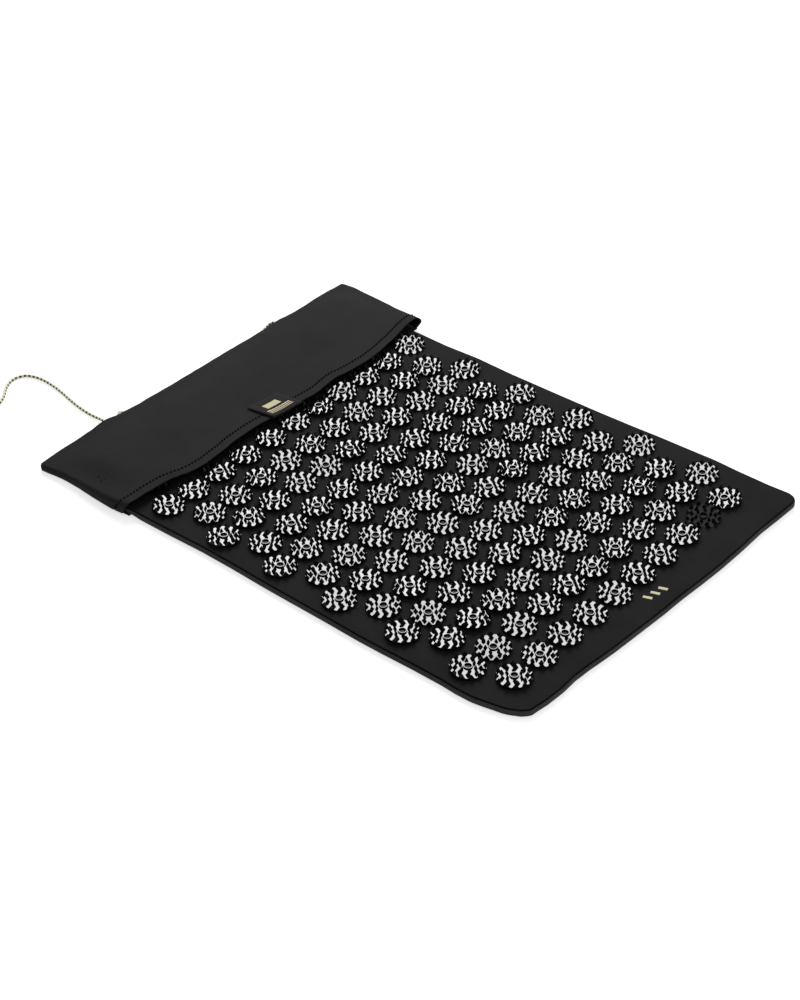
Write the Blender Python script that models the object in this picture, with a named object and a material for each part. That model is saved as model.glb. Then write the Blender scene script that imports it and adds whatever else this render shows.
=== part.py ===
# Acupressure mat with its far end in a slip-on cloth sleeve.
# X runs along the mat to its near end, Y across it to the right, Z up from the floor. Metres.

import math

import bmesh
import bpy
from mathutils import Vector

# Cloth and clearances
fabric = 0.0008                 # one layer of cloth
touch_gap = 0.0003              # space between pieces that lie on each other
thread_width = 0.0007
thread_height = 0.0004

# Mat
mat_length = 0.567              # along its middle
mat_width = 0.403
mat_thickness = 0.0075          # covers and foam, without the discs
near_end_skew = 0.015           # the near end reaches this much further on the right
corner_radius = 0.016
near_left_corner_radius = 0.036
side_bulge = 0.0022             # how far the edge band swells past the panels
edge_stitch_inset = 0.0052
ramp_length = 0.012             # the mat steps up over the sleeve's lower cloth in this length

# Discs
disc_rows = 14                  # long rows and rows with one disc fewer, in turn
disc_diameter = 0.0325
disc_pitch = 0.0352             # between the discs of a row
disc_side_margin = 0.0250       # at least this much from the middle of a row's outer discs to the side
disc_end_margin = 0.0475        # from the middle of the first and last rows to the mat's ends
disc_plate = 0.0020
spike_height = 0.0050
field_offset = -0.0014          # the disc field sits this much off the mat's middle line
rim_points = 10
tip_ring_share = 0.76           # of the disc's radius
valley_ring_share = 0.40

# Sleeve
sleeve_overlap = 0.1045         # length of mat inside the sleeve
end_room = 0.0275               # empty length past the mat's far end
left_room = 0.0088              # beside the mat, at the mouth
right_room = 0.0120
end_left_room = 0.0060          # beside the mat, at the closed end
end_right_room = 0.0222
spike_room = 0.0022             # between the spikes and the hem
end_height = 0.0080             # height of the closed end
end_skew = 0.0065               # the closed end reaches this much further on the left
end_seam_width = 0.0040
end_seam_chamfer = 0.0014
hem_depth = 0.0135
mouth_recess_left = 0.0180      # the mouth's edge draws back down the sides
mouth_recess_right = 0.0100
mouth_shoulder = 0.0060         # and this much at the left shoulder
mouth_bow = 0.0085              # slack cloth bows forward right of the middle
mouth_bow_place = 0.1150
mouth_bow_spread = 0.0900
lower_recess = 0.0090           # the lower cloth ends this far back from the upper
left_exit_bulge = 0.0050        # the cords' knots push the closed end out
right_exit_bulge = 0.0015
exit_bulge_spread = 0.0300
crowding_share = 0.02           # of the width: no two lines of points lie closer
arc_steps = 6
corner_steps = 5

# Woven label, folded over the mouth's edge
label_length = 0.0330
label_width = 0.0335
label_thickness = 0.0007
label_overhang = 0.0045         # its fold stands past the mouth's edge
label_tuck = 0.0150             # length of the leaf inside the mouth
label_place = -0.0057           # across the mat

# Tie cords
cord_diameter = 0.0034
exit_spacing = 0.2390
exits_offset = 0.0055           # the middle of the two exits sits this far right of the mat's middle
cord_sides_resolution = 2
cord_step = 0.0085              # between the points of a cord's line
knot_length = 0.0090
knot_width = 0.0066
knot_height = 0.0054

# Routes of the cords from where they leave the sleeve: along X, along Y, height.
left_cord_route = [
    (-0.0030, 0.0000, 0.0040), (-0.0080, 0.0010, 0.0031), (-0.0145, 0.0016, 0.0021),
    (-0.0262, 0.0016, 0.0018), (-0.0410, 0.0030, 0.0018), (-0.0580, 0.0060, 0.0018),
    (-0.0762, 0.0101, 0.0018), (-0.0927, 0.0127, 0.0018), (-0.1077, 0.0136, 0.0018),
    (-0.1200, 0.0122, 0.0018), (-0.1293, 0.0082, 0.0018), (-0.1338, 0.0018, 0.0018),
    (-0.1352, -0.0052, 0.0018), (-0.1332, -0.0130, 0.0018), (-0.1280, -0.0215, 0.0018),
    (-0.1198, -0.0310, 0.0018), (-0.1138, -0.0410, 0.0018), (-0.1105, -0.0515, 0.0018),
    (-0.1105, -0.0615, 0.0018), (-0.1150, -0.0700, 0.0019), (-0.1225, -0.0755, 0.0026),
]
right_cord_route = [
    (-0.0025, 0.0000, 0.0040), (-0.0055, -0.0014, 0.0036), (-0.0069, -0.0045, 0.0030),
    (-0.0065, -0.0085, 0.0024), (-0.0045, -0.0135, 0.0019), (-0.0025, -0.0200, 0.0018),
    (-0.0016, -0.0320, 0.0018), (-0.0018, -0.0500, 0.0018), (-0.0021, -0.0700, 0.0018),
    (-0.0024, -0.0900, 0.0018), (-0.0028, -0.1100, 0.0018), (-0.0031, -0.1300, 0.0018),
    (-0.0034, -0.1500, 0.0018), (-0.0037, -0.1700, 0.0018), (-0.0041, -0.1880, 0.0018),
    (-0.0046, -0.2000, 0.0018), (-0.0055, -0.2090, 0.0021), (-0.0066, -0.2145, 0.0025),
]

# Places worked out from the sizes above
mat_left = -mat_width / 2
mat_right = mat_width / 2
mat_far = -mat_length / 2
mat_near = mat_length / 2
mouth_x = mat_far + sleeve_overlap
end_x = mat_far - end_room
lower_mouth_x = mouth_x - lower_recess
long_row_discs = 1 + int((mat_width - 2 * disc_side_margin) / disc_pitch)
row_pitch = (mat_length - 2 * disc_end_margin) / (disc_rows - 1)
disc_bottom = mat_thickness + touch_gap
disc_top = disc_bottom + disc_plate
tip_height = disc_top + spike_height
cloth_step = fabric + touch_gap
mouth_height = tip_height + spike_room + cloth_step + fabric
last_row_x = -(disc_rows - 1) / 2 * row_pitch
taper_x = last_row_x - disc_diameter / 2 - spike_room
end_middle = (end_right_room - end_left_room) / 2
left_exit_y = exits_offset - exit_spacing / 2
right_exit_y = exits_offset + exit_spacing / 2
exit_height = end_height / 2


def clear_scene():
    for item in list(bpy.data.objects):
        bpy.data.objects.remove(item, do_unlink=True)


def make_material(name, colour, roughness, metallic=0.0):
    material = bpy.data.materials.new(name)
    material.use_nodes = True
    shader = material.node_tree.nodes["Principled BSDF"]
    shader.inputs["Base Color"].default_value = (*colour, 1.0)
    shader.inputs["Roughness"].default_value = roughness
    shader.inputs["Metallic"].default_value = metallic
    material.diffuse_color = (*colour, 1.0)
    return material


def add_object(name, data, material, root):
    """Links an object that stands for one piece, under the part's root empty."""
    item = bpy.data.objects.new(name, data)
    data.materials.append(material)
    bpy.context.scene.collection.objects.link(item)
    item.parent = root
    return item


def mesh_from(bm, name):
    """Turns a bmesh into a mesh with its faces pointing out."""
    bmesh.ops.recalc_face_normals(bm, faces=bm.faces[:])
    mesh = bpy.data.meshes.new(name)
    bm.to_mesh(mesh)
    bm.free()
    return mesh


def join_rings(bm, rings, closed):
    """Faces between each ring of vertices and the next; closed joins the last ring to the first."""
    pairs = list(zip(rings, rings[1:]))
    if closed:
        pairs.append((rings[-1], rings[0]))
    for one, two in pairs:
        for k in range(len(one)):
            after = (k + 1) % len(one)
            bm.faces.new((one[k], one[after], two[after], two[k]))


def mat_outline(inset):
    """The mat's rounded outline, drawn in by inset, with points where the underside steps up."""
    skew = near_end_skew / 2
    corners = [
        (mat_far + inset, mat_left + inset, corner_radius),
        (mat_near - skew - inset, mat_left + inset, near_left_corner_radius),
        (mat_near + skew - inset, mat_right - inset, corner_radius),
        (mat_far + inset, mat_right - inset, corner_radius),
    ]
    points = []
    for k, (x, y, radius) in enumerate(corners):
        here = Vector((x, y))
        back = (Vector(corners[k - 1][:2]) - here).normalized()
        ahead = (Vector(corners[(k + 1) % 4][:2]) - here).normalized()
        half = back.angle(ahead) / 2
        reach = (radius - inset) / math.tan(half)
        centre = here + (back + ahead).normalized() * (radius - inset) / math.sin(half)
        start = here + back * reach - centre
        turn = math.pi - 2 * half
        for step in range(corner_steps + 1):
            angle = turn * step / corner_steps
            cos, sin = math.cos(angle), math.sin(angle)
            points.append(
                (centre.x + start.x * cos - start.y * sin, centre.y + start.x * sin + start.y * cos)
            )
    return split_at_x(points, (lower_mouth_x + touch_gap, lower_mouth_x + ramp_length))


def split_at_x(points, places):
    """Adds a point to each side of an outline where it passes each place along X."""
    for place in places:
        out = []
        for k, (x, y) in enumerate(points):
            next_x, next_y = points[(k + 1) % len(points)]
            out.append((x, y))
            if (x - place) * (next_x - place) < 0:
                out.append((place, y + (next_y - y) * (place - x) / (next_x - x)))
        points = out
    return points


def underside(x):
    """How far the mat's underside is lifted by the sleeve's lower cloth."""
    share = (lower_mouth_x + ramp_length - x) / (ramp_length - touch_gap)
    return cloth_step * min(1.0, max(0.0, share))


def slab(name, outline, low, high, lift_low, lift_high):
    """A sheet between two heights, with its faces lifted where the mat lies on the sleeve."""
    bm = bmesh.new()
    bm.faces.new([bm.verts.new((x, y, low)) for x, y in outline])
    for place in (lower_mouth_x + touch_gap, lower_mouth_x + ramp_length):
        everything = bm.verts[:] + bm.edges[:] + bm.faces[:]
        bmesh.ops.bisect_plane(
            bm, geom=everything, dist=touch_gap / 10, plane_co=(place, 0, 0), plane_no=(1, 0, 0)
        )
    lower = bm.verts[:]
    grown = bmesh.ops.extrude_face_region(bm, geom=bm.faces[:])["geom"]
    upper = [v for v in grown if isinstance(v, bmesh.types.BMVert)]
    for v in upper:
        v.co.z = high + lift_high * underside(v.co.x)
    for v in lower:
        v.co.z = low + lift_low * underside(v.co.x)
    return mesh_from(bm, name)


def build_mat(root, cloth, foam, thread):
    """The cloth cover, its edge band, the foam inside and the stitching round the top."""
    cover_low = mat_thickness - fabric
    band_low = cloth_step
    band_high = cover_low - touch_gap
    inner = side_bulge + fabric + touch_gap
    bottom = slab("mat_bottom_panel", mat_outline(side_bulge), 0, fabric, 1, 1)
    add_object("mat_bottom_panel", bottom, cloth, root)
    core = slab("foam_core", mat_outline(inner), cloth_step, band_high, 1, 0)
    add_object("foam_core", core, foam, root)
    top = slab("mat_top_panel", mat_outline(side_bulge), cover_low, mat_thickness, 0, 0)
    add_object("mat_top_panel", top, cloth, root)

    middle = (band_high - band_low) / 3
    profile = [
        (side_bulge, band_low),
        (0, band_low + middle),
        (0, band_high - middle),
        (side_bulge, band_high),
        (side_bulge + fabric, band_high),
        (side_bulge + fabric, band_low),
    ]
    band = swept_outline("mat_edge_band", profile, band_low, band_high)
    add_object("mat_edge_band", band, cloth, root)

    stitch_low = mat_thickness + touch_gap
    stitch_high = stitch_low + thread_height
    stitch_out = edge_stitch_inset - thread_width
    profile = [
        (stitch_out, stitch_low),
        (stitch_out, stitch_high),
        (edge_stitch_inset, stitch_high),
        (edge_stitch_inset, stitch_low),
    ]
    stitching = swept_outline("mat_edge_stitching", profile, 0, stitch_low)
    add_object("mat_edge_stitching", stitching, thread, root)


def swept_outline(name, profile, lift_from, lift_to):
    """Sweeps a profile of (inset, height) round the mat; the lift fades out at lift_to."""
    bm = bmesh.new()
    rings = []
    for inset, height in profile:
        share = min(1.0, max(0.0, (lift_to - height) / (lift_to - lift_from)))
        outline = mat_outline(inset)
        rings.append([bm.verts.new((x, y, height + share * underside(x))) for x, y in outline])
    join_rings(bm, rings, True)
    return mesh_from(bm, name)


def add_disc(bm, x, y, open_sides):
    """One plastic disc: a plate with a ring of points round a middle point."""
    radius = disc_diameter / 2
    count = rim_points

    def ring(points, share, height, shift):
        out = []
        for k in range(points):
            angle = 2 * math.pi * (k + shift) / points
            across = radius * share * math.sin(angle)
            out.append(bm.verts.new((x + radius * share * math.cos(angle), y + across, height(k))))
        return out

    low = ring(count, 1, lambda k: disc_bottom, 0)
    high = ring(count, 1, lambda k: disc_top, 0)
    tips = ring(count, tip_ring_share, lambda k: tip_height if k % 2 == 0 else disc_top, 0)
    valley = ring(count // 2, valley_ring_share, lambda k: disc_top, 0.5)
    centre = bm.verts.new((x, y, tip_height))
    bm.faces.new(low[::-1])
    for k in range(count):
        after = (k + 1) % count
        if k not in open_sides:
            bm.faces.new((low[k], low[after], high[after], high[k]))
        if k % 2 == 0:
            bm.faces.new((high[k], high[after], tips[k]))
            bm.faces.new((high[after], tips[after], tips[k]))
        else:
            bm.faces.new((high[k], high[after], tips[after]))
            bm.faces.new((high[k], tips[after], tips[k]))
    for k in range(count // 2):
        tip = tips[2 * k]
        between = tips[2 * k + 1]
        next_tip = tips[(2 * k + 2) % count]
        next_valley = valley[(k + 1) % (count // 2)]
        bm.faces.new((tip, between, valley[k]))
        bm.faces.new((between, next_tip, valley[k]))
        bm.faces.new((valley[k], next_tip, next_valley))
        bm.faces.new((valley[k], next_valley, centre))
    return low, high


def build_discs(root, plastic):
    """Rows of discs. Narrow webs between neighbours make each row one piece."""
    to_right = rim_points // 4
    to_left = to_right + rim_points // 2
    for row in range(disc_rows):
        bm = bmesh.new()
        count = long_row_discs - row % 2
        x = (row - (disc_rows - 1) / 2) * row_pitch
        before = None
        for k in range(count):
            y = (k - (count - 1) / 2) * disc_pitch + field_offset
            sides = ([to_left] if k > 0 else []) + ([to_right] if k < count - 1 else [])
            low, high = add_disc(bm, x, y, sides)
            here = [low[to_left + 1], low[to_left], high[to_left], high[to_left + 1]]
            if before:
                join_rings(bm, [before, here], False)
            before = [low[to_right], low[to_right + 1], high[to_right + 1], high[to_right]]
        name = f"disc_row_{row + 1:02d}"
        add_object(name, mesh_from(bm, name), plastic, root)


def window(distance, spread):
    """A smooth rise and fall, 1 in the middle and 0 from spread on."""
    return math.cos(math.pi / 2 * min(1.0, abs(distance) / spread)) ** 2


def far_edge(y):
    """Where the sleeve's closed end lies along X, at each place across it."""
    skewed = end_x + end_skew / 2 * (y - end_middle) / (mat_width / 2)
    left = left_exit_bulge * window(y - left_exit_y, exit_bulge_spread)
    right = right_exit_bulge * window(y - right_exit_y, exit_bulge_spread)
    return skewed - left - right


def mouth_edge(y, side, depth):
    """Where the mouth's edge lies along X. Depth goes from 0 on top to 1 at the foot of a side."""
    bow = mouth_bow * window(y - mouth_bow_place, mouth_bow_spread)
    if side < 0:
        recess = mouth_shoulder + (mouth_recess_left - mouth_shoulder) * depth
        return mouth_x - recess * (1 if depth > 0 else window(y - mat_left, mat_width / 6))
    return mouth_x + bow - mouth_recess_right * depth


def sleeve_height(x):
    """The sleeve stays high over the discs and then slopes down to its closed end."""
    share = (x - end_x) / (taper_x - end_x)
    return end_height + (mouth_height - end_height) * min(1.0, max(0.0, share))


def sleeve_sides(x):
    """The sleeve's leftmost and rightmost reach at a place along X."""
    share = min(1.0, max(0.0, (mouth_x - x) / (mouth_x - end_x)))
    left = left_room + (end_left_room - left_room) * share
    right = right_room + (end_right_room - right_room) * share
    return mat_left - left, mat_right + right


def across_shares():
    """Shares across the sleeve's top where its cloth has points, closer near the cords."""
    width = mat_width + end_left_room + end_right_room
    even = [k / 8 for k in range(9)]
    places = []
    for exit_y in (left_exit_y, right_exit_y):
        for step in (-1, 0, 1):
            places.append((exit_y + step * exit_bulge_spread / 2 - mat_left + end_left_room) / width)
    kept = [s for s in even if all(abs(s - p) > crowding_share for p in places)]
    return sorted(kept + places)


def section(x, inset, shares):
    """The sleeve's upper outline at x, drawn in by inset: up its left side, over and down its right."""
    left, right = sleeve_sides(x)
    radius = sleeve_height(x) / 2
    inner = radius - inset
    foot = math.asin(max(-1.0, (cloth_step - radius) / radius))
    points = []
    for step in range(arc_steps + 1):
        angle = foot + (math.pi / 2 - foot) * step / arc_steps
        depth = 1 - step / arc_steps
        points.append((left + radius - inner * math.cos(angle), radius + inner * math.sin(angle), -1, depth))
    for share in shares[1:-1]:
        y = left + radius + (right - left - 2 * radius) * share
        points.append((y, radius + inner, -1 if share < 0.5 else 1, 0))
    for step in range(arc_steps, -1, -1):
        angle = foot + (math.pi / 2 - foot) * step / arc_steps
        depth = 1 - step / arc_steps
        points.append((right - radius + inner * math.cos(angle), radius + inner * math.sin(angle), 1, depth))
    return points


def sleeve_sheet(name, inset, skipped, start, stop, steps):
    """A layer of the sleeve's upper cloth, without the lowest skipped points of each side.

    Its edges are functions of a point's place across the mouth or the end, its side and depth."""
    shares = across_shares()
    at_mouth = section(mouth_x, inset, shares)
    at_end = section(end_x, inset, shares)
    kept = range(skipped, len(at_mouth) - skipped)
    bm = bmesh.new()
    rows = []
    for step in range(steps + 1):
        part = step / steps
        row = []
        for k in kept:
            y, z, side, depth = at_mouth[k]
            x = start(y, at_end[k][0], side, depth) * (1 - part)
            x += stop(y, at_end[k][0], side, depth) * part
            row.append(bm.verts.new((x, *section(x, inset, shares)[k][:2])))
        rows.append(row)
    for one, two in zip(rows, rows[1:]):
        for k in range(len(one) - 1):
            bm.faces.new((one[k], one[k + 1], two[k + 1], two[k]))
    mesh = bpy.data.meshes.new(name)
    bm.normal_update()
    bm.to_mesh(mesh)
    bm.free()
    return mesh


def thicken(item, thickness):
    """Gives a sheet its thickness on its inner side."""
    solidify = item.modifiers.new("thickness", "SOLIDIFY")
    solidify.thickness = thickness
    solidify.offset = -1
    solidify.use_even_offset = True
    solidify.use_rim = True


def build_sleeve(root, cloth, thread):
    """Upper cloth, lower cloth, hem, closed end and the stitching along the mouth."""
    def panel_start(y, end_y, side, depth):
        return mouth_edge(y, side, depth)

    def panel_end(y, end_y, side, depth):
        return far_edge(end_y) + end_seam_width + touch_gap

    def hem_end(y, end_y, side, depth):
        return mouth_edge(y, side, depth) - hem_depth

    def stitch_start(y, end_y, side, depth):
        return hem_end(y, end_y, side, depth) + 2 * thread_width

    def stitch_end(y, end_y, side, depth):
        return hem_end(y, end_y, side, depth) + thread_width

    sheet = sleeve_sheet("sleeve_top_panel", 0, 0, panel_start, panel_end, 8)
    thicken(add_object("sleeve_top_panel", sheet, cloth, root), fabric)
    sheet = sleeve_sheet("mouth_hem", cloth_step, 1, panel_start, hem_end, 1)
    thicken(add_object("mouth_hem", sheet, cloth, root), fabric)
    above = -touch_gap - thread_height
    sheet = sleeve_sheet("mouth_stitching", above, 1, stitch_start, stitch_end, 1)
    thicken(add_object("mouth_stitching", sheet, thread, root), thread_height)
    build_lower_cloth(root, cloth)
    build_end_seam(root, cloth)


def foot_of_side(x):
    """Where the upper cloth's two lips stand on the lower cloth."""
    edge = section(x, 0, across_shares())
    return edge[0][0], edge[-1][0]


def build_lower_cloth(root, cloth):
    """The flat cloth under the mat, as wide as the upper cloth's lips."""
    steps = 6
    places = [lower_mouth_x + (end_x - lower_mouth_x) * k / steps for k in range(steps)]
    left_end, right_end = foot_of_side(end_x)
    outline = [(x, foot_of_side(x)[0]) for x in places]
    for share in across_shares():
        y = left_end + (right_end - left_end) * share
        outline.append((far_edge(y) + end_seam_width + touch_gap, y))
    outline += [(x, foot_of_side(x)[1]) for x in reversed(places)]
    bm = bmesh.new()
    bm.faces.new([bm.verts.new((x, y, 0)) for x, y in outline])
    grown = bmesh.ops.extrude_face_region(bm, geom=bm.faces[:])["geom"]
    for v in grown:
        if isinstance(v, bmesh.types.BMVert):
            v.co.z = fabric
    add_object("sleeve_bottom_panel", mesh_from(bm, "sleeve_bottom_panel"), cloth, root)


def build_end_seam(root, cloth):
    """The rolled seam that closes the far end, with a hole for each cord."""
    left, right = sleeve_sides(end_x)
    radius = end_height / 2
    places = []
    for step in range(1, arc_steps + 1):
        angle = math.pi / 2 * step / arc_steps
        places.append((left + radius * (1 - math.cos(angle)), radius * math.sin(angle)))
    for share in across_shares()[1:-1]:
        places.append((left + radius + (right - left - 2 * radius) * share, radius))
    for step in range(arc_steps, 0, -1):
        angle = math.pi / 2 * step / arc_steps
        places.append((right - radius * (1 - math.cos(angle)), radius * math.sin(angle)))
    bm = bmesh.new()
    rings = []
    for y, half in places:
        outer = far_edge(y)
        inner = outer + end_seam_width
        soft = end_seam_chamfer
        low, high = radius - half, radius + half
        drawn = half - soft * half / radius
        ring = [
            (inner, high), (outer + soft, high), (outer, radius + drawn),
            (outer, radius - drawn), (outer + soft, low), (inner, low),
        ]
        rings.append([bm.verts.new((x, y, z)) for x, z in ring])
    join_rings(bm, rings, False)
    bm.faces.new(rings[0])
    bm.faces.new(rings[-1][::-1])
    seam = add_object("sleeve_end_seam", mesh_from(bm, "sleeve_end_seam"), cloth, root)
    for name, y in (("left", left_exit_y), ("right", right_exit_y)):
        hole = cord_hole(f"{name}_cord_hole", y, root)
        cut = seam.modifiers.new(name, "BOOLEAN")
        cut.operation = "DIFFERENCE"
        cut.object = hole


def cord_hole(name, y, root):
    """A hidden cutter along X, wide enough for the cord."""
    bm = bmesh.new()
    bmesh.ops.create_cone(
        bm, cap_ends=True, segments=12, radius1=cord_diameter / 2 + touch_gap,
        radius2=cord_diameter / 2 + touch_gap, depth=end_seam_width * 4,
    )
    bmesh.ops.rotate(bm, verts=bm.verts[:], matrix=quarter_turn())
    bmesh.ops.translate(bm, verts=bm.verts[:], vec=(far_edge(y), y, exit_height))
    mesh = bpy.data.meshes.new(name)
    bm.to_mesh(mesh)
    bm.free()
    hole = bpy.data.objects.new(name, mesh)
    bpy.context.scene.collection.objects.link(hole)
    hole.parent = root
    hole.hide_render = True
    hole.display_type = "WIRE"
    return hole


def quarter_turn():
    """Turns a shape's own Z axis onto X."""
    return Vector((0, 0, 1)).rotation_difference(Vector((1, 0, 0))).to_matrix()


def build_label(root, material):
    """A woven label folded over the mouth's edge, with a leaf above and a leaf inside."""
    upper_low = mouth_height + 2 * touch_gap + thread_height
    upper_high = upper_low + label_thickness
    hem_under = mouth_height - fabric - cloth_step
    lower_high = hem_under - touch_gap
    lower_low = lower_high - label_thickness
    edge = mouth_x
    nose = edge + label_overhang
    back = nose - label_length
    tucked = edge - label_tuck
    wall = nose - label_thickness
    profile = [
        (back, upper_low), (wall, upper_low), (wall, lower_high), (tucked, lower_high),
        (tucked, lower_low), (nose, lower_low), (nose, upper_high), (back, upper_high),
    ]
    bm = bmesh.new()
    left = label_place - label_width / 2
    bm.faces.new([bm.verts.new((x, left, z)) for x, z in profile])
    grown = bmesh.ops.extrude_face_region(bm, geom=bm.faces[:])["geom"]
    for v in grown:
        if isinstance(v, bmesh.types.BMVert):
            v.co.y = left + label_width
    add_object("woven_label", mesh_from(bm, "woven_label"), material, root)


def smooth_line(points, step):
    """Points about step apart along a smooth curve through the given ones."""
    padded = [2 * points[0] - points[1], *points, 2 * points[-1] - points[-2]]
    fine = []
    for p, a, b, q in zip(padded, padded[1:], padded[2:], padded[3:]):
        for k in range(12):
            t = k / 12
            fine.append(
                0.5 * (2 * a + (b - p) * t + (2 * p - 5 * a + 4 * b - q) * t * t
                       + (3 * a - p - 3 * b + q) * t * t * t)
            )
    fine.append(points[-1])
    length = sum((b - a).length for a, b in zip(fine, fine[1:]))
    count = max(2, round(length / step))
    out = [fine[0]]
    walked = 0.0
    for a, b in zip(fine, fine[1:]):
        piece = (b - a).length
        while len(out) < count and walked + piece >= length * len(out) / count:
            out.append(a.lerp(b, (length * len(out) / count - walked) / piece))
        walked += piece
    out.append(fine[-1])
    return out, length


def build_cord(name, exit_y, route, root, material):
    """One tie cord: its line, the knot that holds it inside the sleeve and the knot on its free end."""
    origin = Vector((far_edge(exit_y), exit_y, 0))
    inside = end_seam_width + touch_gap
    start = Vector((inside, 0, exit_height))
    points = [start, Vector((inside / 2, 0, exit_height)), *(Vector(p) for p in route)]
    line, length = smooth_line([origin + p for p in points], cord_step)
    print(f"{name} is {length:.4f} m long")
    curve = bpy.data.curves.new(name, "CURVE")
    curve.dimensions = "3D"
    curve.bevel_depth = cord_diameter / 2
    curve.bevel_resolution = cord_sides_resolution
    curve.use_fill_caps = True
    spline = curve.splines.new("POLY")
    spline.points.add(len(line) - 1)
    for point, place in zip(spline.points, line):
        point.co = (*place, 1)
    add_object(name, curve, material, root)
    way = (line[-1] - line[-2]).normalized()
    end_knot = line[-1] + way * (knot_length / 2 + touch_gap)
    end_knot.z = knot_height / 2
    add_knot(f"{name}_end_knot", end_knot, math.atan2(way.y, way.x), knot_length, root, material)
    anchor = line[0] + Vector((knot_width / 2 + touch_gap, 0, 0))
    add_knot(f"{name}_anchor_knot", anchor, math.pi / 2, knot_length, root, material)


def add_knot(name, place, turn, length, root, material):
    """A pulled-tight knot as a plain rounded lump, longest along its own X axis."""
    bm = bmesh.new()
    bmesh.ops.create_icosphere(bm, subdivisions=2, radius=0.5)
    bmesh.ops.scale(bm, vec=(length, knot_width, knot_height), verts=bm.verts[:])
    item = add_object(name, mesh_from(bm, name), material, root)
    item.location = place
    item.rotation_euler = (0, 0, turn)


def centre_on_footprint(root):
    """Moves the part so that its origin is under the middle of everything but the cords."""
    bpy.context.view_layer.update()
    depsgraph = bpy.context.evaluated_depsgraph_get()
    corners = []
    for item in bpy.data.objects:
        if item.type == "MESH" and not item.hide_render and "cord" not in item.name:
            shown = item.evaluated_get(depsgraph)
            corners += [shown.matrix_world @ v.co for v in shown.data.vertices]
    for axis in (0, 1):
        values = [c[axis] for c in corners]
        root.location[axis] = -(min(values) + max(values)) / 2
    root.location.z = -min(c.z for c in corners)
    bpy.context.view_layer.update()
    print(f"the mat's middle is at {root.location.x:.5f} {root.location.y:.5f} {root.location.z:.5f}")


def build():
    clear_scene()
    root = bpy.data.objects.new("mat_middle", None)
    bpy.context.scene.collection.objects.link(root)
    cloth = make_material("black_cover_cloth", (0.018, 0.018, 0.019), 0.72)
    foam = make_material("grey_foam", (0.20, 0.20, 0.21), 0.95)
    plastic = make_material("black_disc_plastic", (0.010, 0.010, 0.011), 0.16)
    thread = make_material("black_thread", (0.008, 0.008, 0.008), 0.80)
    woven = make_material("dark_woven_label", (0.040, 0.034, 0.030), 0.65)
    braid = make_material("gold_black_braid", (0.62, 0.55, 0.30), 0.55)
    build_mat(root, cloth, foam, thread)
    build_discs(root, plastic)
    build_sleeve(root, cloth, thread)
    build_label(root, woven)
    build_cord("left_cord", left_exit_y, left_cord_route, root, braid)
    build_cord("right_cord", right_exit_y, right_cord_route, root, braid)
    centre_on_footprint(root)


build()
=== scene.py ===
import math

import bmesh
import bpy
from mathutils import Matrix, Vector, noise


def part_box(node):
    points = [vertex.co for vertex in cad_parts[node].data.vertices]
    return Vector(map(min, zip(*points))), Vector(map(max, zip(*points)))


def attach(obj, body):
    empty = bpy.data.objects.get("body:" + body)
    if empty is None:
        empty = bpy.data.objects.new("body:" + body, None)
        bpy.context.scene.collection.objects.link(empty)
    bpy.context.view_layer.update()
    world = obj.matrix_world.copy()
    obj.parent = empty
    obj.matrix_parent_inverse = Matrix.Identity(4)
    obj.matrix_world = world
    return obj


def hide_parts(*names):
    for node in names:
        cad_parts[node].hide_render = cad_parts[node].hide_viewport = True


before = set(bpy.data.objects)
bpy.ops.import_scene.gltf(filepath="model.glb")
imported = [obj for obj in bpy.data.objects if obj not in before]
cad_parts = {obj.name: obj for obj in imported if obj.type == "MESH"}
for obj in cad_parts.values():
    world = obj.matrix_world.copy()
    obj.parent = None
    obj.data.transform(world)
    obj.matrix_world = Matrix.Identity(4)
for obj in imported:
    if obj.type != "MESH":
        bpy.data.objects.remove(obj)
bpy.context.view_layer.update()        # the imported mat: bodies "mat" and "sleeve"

print("frame loaded:", len(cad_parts), "nodes")


def nodeBox(name):
    low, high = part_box(name)
    return Vector(low), Vector(high)


def boxMiddle(name):
    low, high = nodeBox(name)
    return (low + high) / 2


# The disc field sits a little off the mat's middle line, so the middle comes from its rows.
matPlaces = {
    "fieldOffset": -0.0014,
    "rows": 14,
    "length": 0.567,
    "skew": 0.015,               # the near end reaches this much further on the right
    "cornerRadii": (0.016, 0.0095, 0.013, 0.016),   # far left, near left, near right, far right
    "rampLength": 0.012,         # the underside steps up over the sleeve's lower cloth
}
rowNames = [f"disc_row_{k + 1:02d}" for k in range(matPlaces["rows"])]
rowMiddles = [boxMiddle(name) for name in rowNames]
matMiddle = Vector((
    (rowMiddles[0].x + rowMiddles[-1].x) / 2,
    rowMiddles[0].y - matPlaces["fieldOffset"],
    0,
))
bandLow, bandHigh = nodeBox("mat_edge_band")
matTop = nodeBox("mat_top_panel")[1].z
lowerClothHigh = nodeBox("sleeve_bottom_panel")[1]


def hexColour(text):
    parts = [int(text[k:k + 2], 16) / 255 for k in (1, 3, 5)]
    return (*[c / 12.92 if c <= 0.04045 else ((c + 0.055) / 1.055) ** 2.4 for c in parts], 1.0)


def newMaterial(name):
    material = bpy.data.materials.new(name)
    material.use_nodes = True
    return material.node_tree, material.node_tree.nodes["Principled BSDF"], material


def feed(tree, node, inputs):
    for key, value in inputs.items():
        if isinstance(value, bpy.types.NodeSocket):
            tree.links.new(value, node.inputs[key])
        else:
            node.inputs[key].default_value = value


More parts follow.
